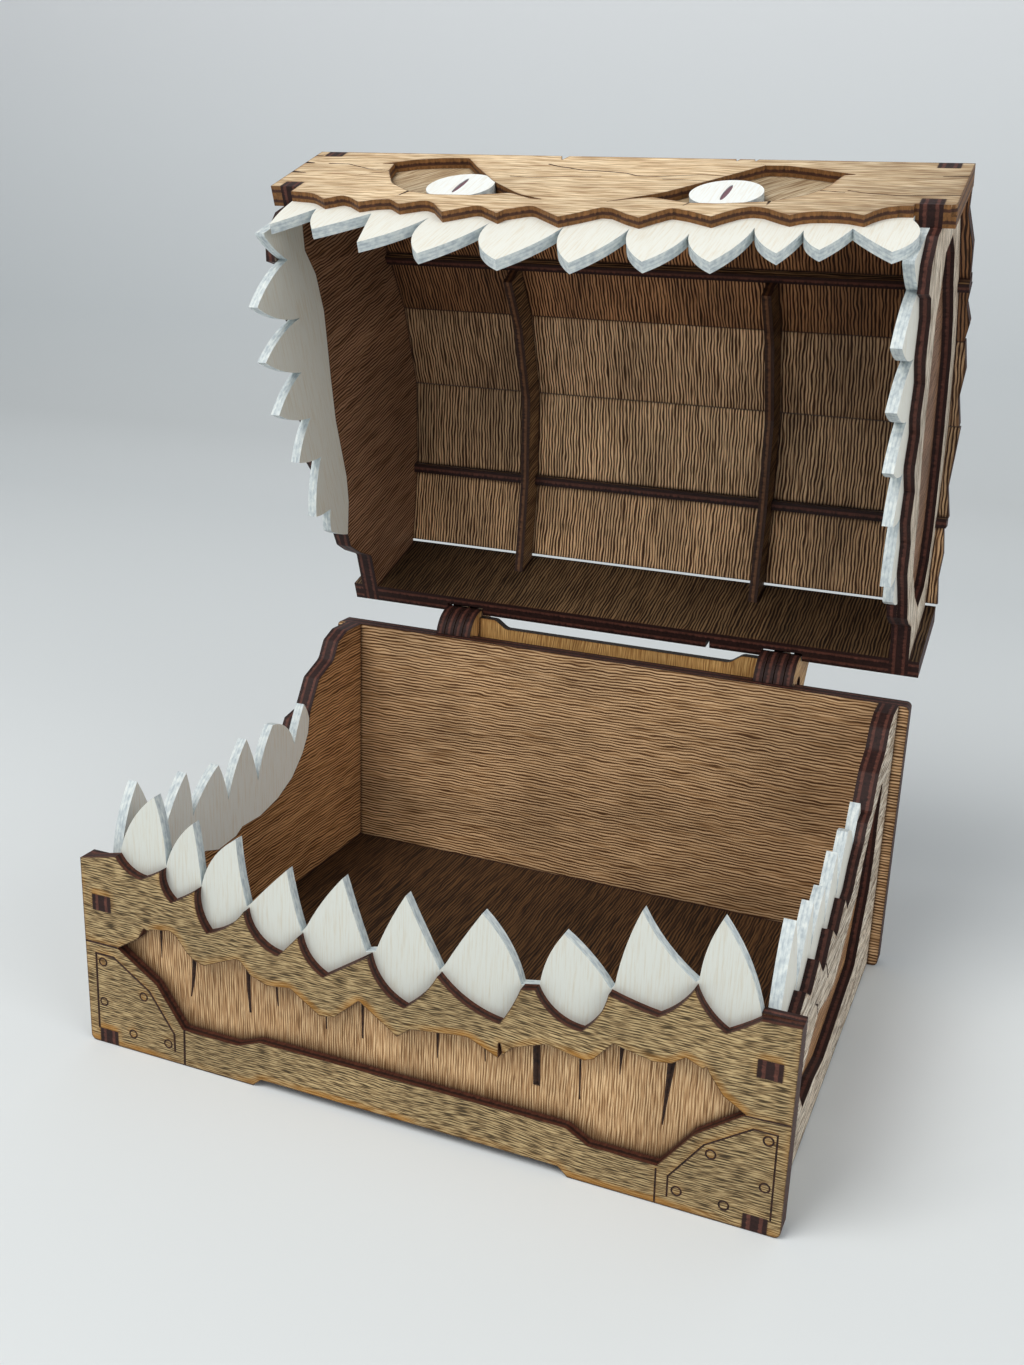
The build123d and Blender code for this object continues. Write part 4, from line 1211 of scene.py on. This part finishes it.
@dataclass
class WoodHinge:
    """The hinge: ply knuckles on two short pins, and the leaf board between them.

    Attributes:
        sides: the two stacks of knuckles.
        leaf_tone, knuckle_tone: how light the leaf, and the knuckles and pins, took the stain.
        first_number: the number of its first board, which shifts the grain.
    """

    sides: tuple[str, ...] = ("left", "right")
    leaf_tone: Tone = (0.8, 0.62, 0.35)
    knuckle_tone: Tone = (0.78, 0.6, 0.38)
    first_number: int = 51

    def dress(self, pieces: dict[str, Piece]) -> None:
        """Stain the knuckles, the pins and the leaf.

        Args:
            pieces: every piece of the chest by its board's name.
        """
        number = self.first_number
        leaf = pieces["hinge_leaf"]
        dress(leaf, LEAF_STAIN, Grain.UPRIGHT, Part.BOX, number, self.leaf_tone)
        tone = self.knuckle_tone
        for side in self.sides:
            number += 1
            pin = pieces["hinge_pin_" + side]
            dress(pin, TAN_STAIN, Grain.ACROSS, Part.BOX, number, tone)
            for place in ("inner", "outer"):
                for part in Part:
                    number += 1
                    knuckle = pieces[f"{part.value}_knuckle_{side}_{place}"]
                    dress(knuckle, KNUCKLE_STAIN, Grain.UPRIGHT, part, number, tone)


@dataclass
class Studio:
    """The pale paper sweep, the soft lights and the camera at the photograph's place.

    Attributes:
        place: the camera's place in millimetres.
        right, down, forward: its own directions.
        focal_px, picture: its focal length and its picture's width and height, in pixels.
        sensor_mm: the longer side of its sensor.
        sweep_near, sweep_far, sweep_half, sweep_high, sweep_bend: the paper's front and rear
            edge, half its width, its height and the radius of its bend, in metres.
        sweep_drop: how far it lies below the boards' feet, so that the two don't blend.
        paper: the heights and colours of its gradient of painted light and shade.
        aim: the middle of the chest in metres, at which the lamps look.
        warm, neutral: the tints of the lamps.
    """

    place: tuple[float, float, float] = (142.09, -284.66, 227.98)
    right: tuple[float, float, float] = (0.921773, 0.386285, 0.033431)
    down: tuple[float, float, float] = (0.149417, -0.274333, -0.949956)
    forward: tuple[float, float, float] = (-0.357782, 0.880639, -0.310591)
    focal_px: float = 1417.95
    picture: tuple[int, int] = (1024, 1365)
    sensor_mm: float = 36.0
    sweep_near: float = -1.4
    sweep_far: float = 1.15
    sweep_half: float = 2.2
    sweep_high: float = 1.9
    sweep_bend: float = 0.45
    sweep_drop: float = 0.0002
    # Painted light and shade on the sweep, by height
    paper: tuple[tuple[float, str], ...] = (
        (0.0, "#E2E6E7"),
        (0.03, "#D6DADB"),
        (0.12, "#D6DBDD"),
        (0.3, "#E6EAEC"),
        (0.5, "#F4F6F8"),
    )
    aim: tuple[float, float, float] = (0.0, 0.07, 0.12)
    warm: Tone = (1.0, 0.985, 0.96)
    neutral: Tone = (1.0, 0.99, 0.975)

    def camera(self) -> None:
        """Set the camera where the photograph was taken from."""
        data = bpy.data.cameras.new("camera")
        data.sensor_width = self.sensor_mm
        data.lens = self.focal_px * self.sensor_mm / max(self.picture)
        data.clip_start, data.clip_end = 0.01, 20.0
        camera = bpy.data.objects.new("camera", data)
        bpy.context.scene.collection.objects.link(camera)
        axes = (Vector(self.right), -Vector(self.down), -Vector(self.forward))
        turn = Matrix(axes).transposed().to_4x4()
        camera.matrix_world = Matrix.Translation(Vector(self.place) * MM) @ turn
        bpy.context.scene.camera = camera

    def sweep(self) -> None:
        """Lay the floor and carry it up behind the chest in one bend."""
        bpy.ops.object.select_all(action="DESELECT")
        bpy.ops.mesh.primitive_plane_add(size=1)
        paper = bpy.context.active_object
        paper.name = "studio_sweep"
        long = self.sweep_far - self.sweep_near
        paper.scale = (self.sweep_half * 2, long, 1)
        paper.location = (0, (self.sweep_far + self.sweep_near) / 2, -self.sweep_drop)
        bpy.ops.object.transform_apply(location=True, rotation=True, scale=True)
        bpy.ops.object.mode_set(mode="EDIT")
        bpy.ops.mesh.select_all(action="DESELECT")
        bpy.ops.object.mode_set(mode="OBJECT")
        slack = 0.01
        for edge in paper.data.edges:
            ends = [paper.data.vertices[i].co.y for i in edge.vertices]
            edge.select = min(ends) > self.sweep_far - slack
        bpy.ops.object.mode_set(mode="EDIT")
        bpy.context.tool_settings.mesh_select_mode = (False, True, False)
        bpy.ops.mesh.extrude_region_move(TRANSFORM_OT_translate={"value": (0, 0, self.sweep_high)})
        bpy.ops.object.mode_set(mode="OBJECT")
        for edge in paper.data.edges:
            ends = [paper.data.vertices[i].co for i in edge.vertices]
            edge.select = all(e.y > self.sweep_far - slack and e.z < slack for e in ends)
        bpy.ops.object.mode_set(mode="EDIT")
        bpy.ops.mesh.bevel(offset=self.sweep_bend, segments=16, affect="EDGES")
        bpy.ops.object.mode_set(mode="OBJECT")
        bpy.ops.object.shade_smooth()
        paper.data.materials.append(StudioPaper("studio_paper", self.paper).material())
        LOG.info("laid %s", paper.name)

    def softbox(self, name: str, away: Vector, size: float, watts: float, tint: Tone) -> None:
        """Hang one soft lamp that looks at the chest.

        Args:
            name: the lamp's name.
            away: where it hangs, in metres from the middle of the chest.
            size: the side of its square face in metres.
            watts: its power.
            tint: the colour of its light.
        """
        lamp = bpy.data.lights.new(name, "AREA")
        lamp.shape = "SQUARE"
        lamp.size = size
        lamp.energy = watts
        lamp.color = tint
        holder = bpy.data.objects.new(name, lamp)
        bpy.context.scene.collection.objects.link(holder)
        holder.location = Vector(self.aim) + away
        holder.rotation_mode = "QUATERNION"
        holder.rotation_quaternion = (-away).to_track_quat("-Z", "Y")

    def lights(self) -> None:
        """Hang the main lamp above the front left, weak ones in front and right, in pale air."""
        self.softbox("softbox_main", Vector((-0.48, -0.77, 1.2)), 0.9, 16.3, self.warm)
        self.softbox("softbox_right", Vector((1.05, -0.5, 0.45)), 0.8, 5.0, self.neutral)
        self.softbox("softbox_front", Vector((-0.2, -1.15, 0.28)), 0.7, 1.3, self.warm)
        world = bpy.data.worlds.new("studio_air")
        bpy.context.scene.world = world
        world.use_nodes = True
        tree = world.node_tree
        tree.nodes.clear()
        glow = add(tree, "Background", {"Color": linear("#EEF4FA"), "Strength": 0.32})
        add(tree, "OutputWorld", {"Surface": glow.outputs[0]})

    def build(self) -> None:
        """Set up the camera, the sweep and the lights."""
        self.camera()
        self.sweep()
        self.lights()
        bpy.context.scene.view_settings.view_transform = "Standard"


def main() -> None:
    """Build the engraved boards, dress every piece, and set up the studio."""
    logging.basicConfig(level=logging.INFO, format="%(name)s: %(message)s")
    char = CharredLine().material()
    pieces = dict(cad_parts)
    box = LowerBox()
    pieces.update(box.build(char))
    box.dress(pieces)
    lid = OpenLid()
    pieces.update(lid.build(char))
    lid.dress(pieces)
    WoodHinge().dress(pieces)
    Studio().build()


if __name__ == "__main__":
    main()
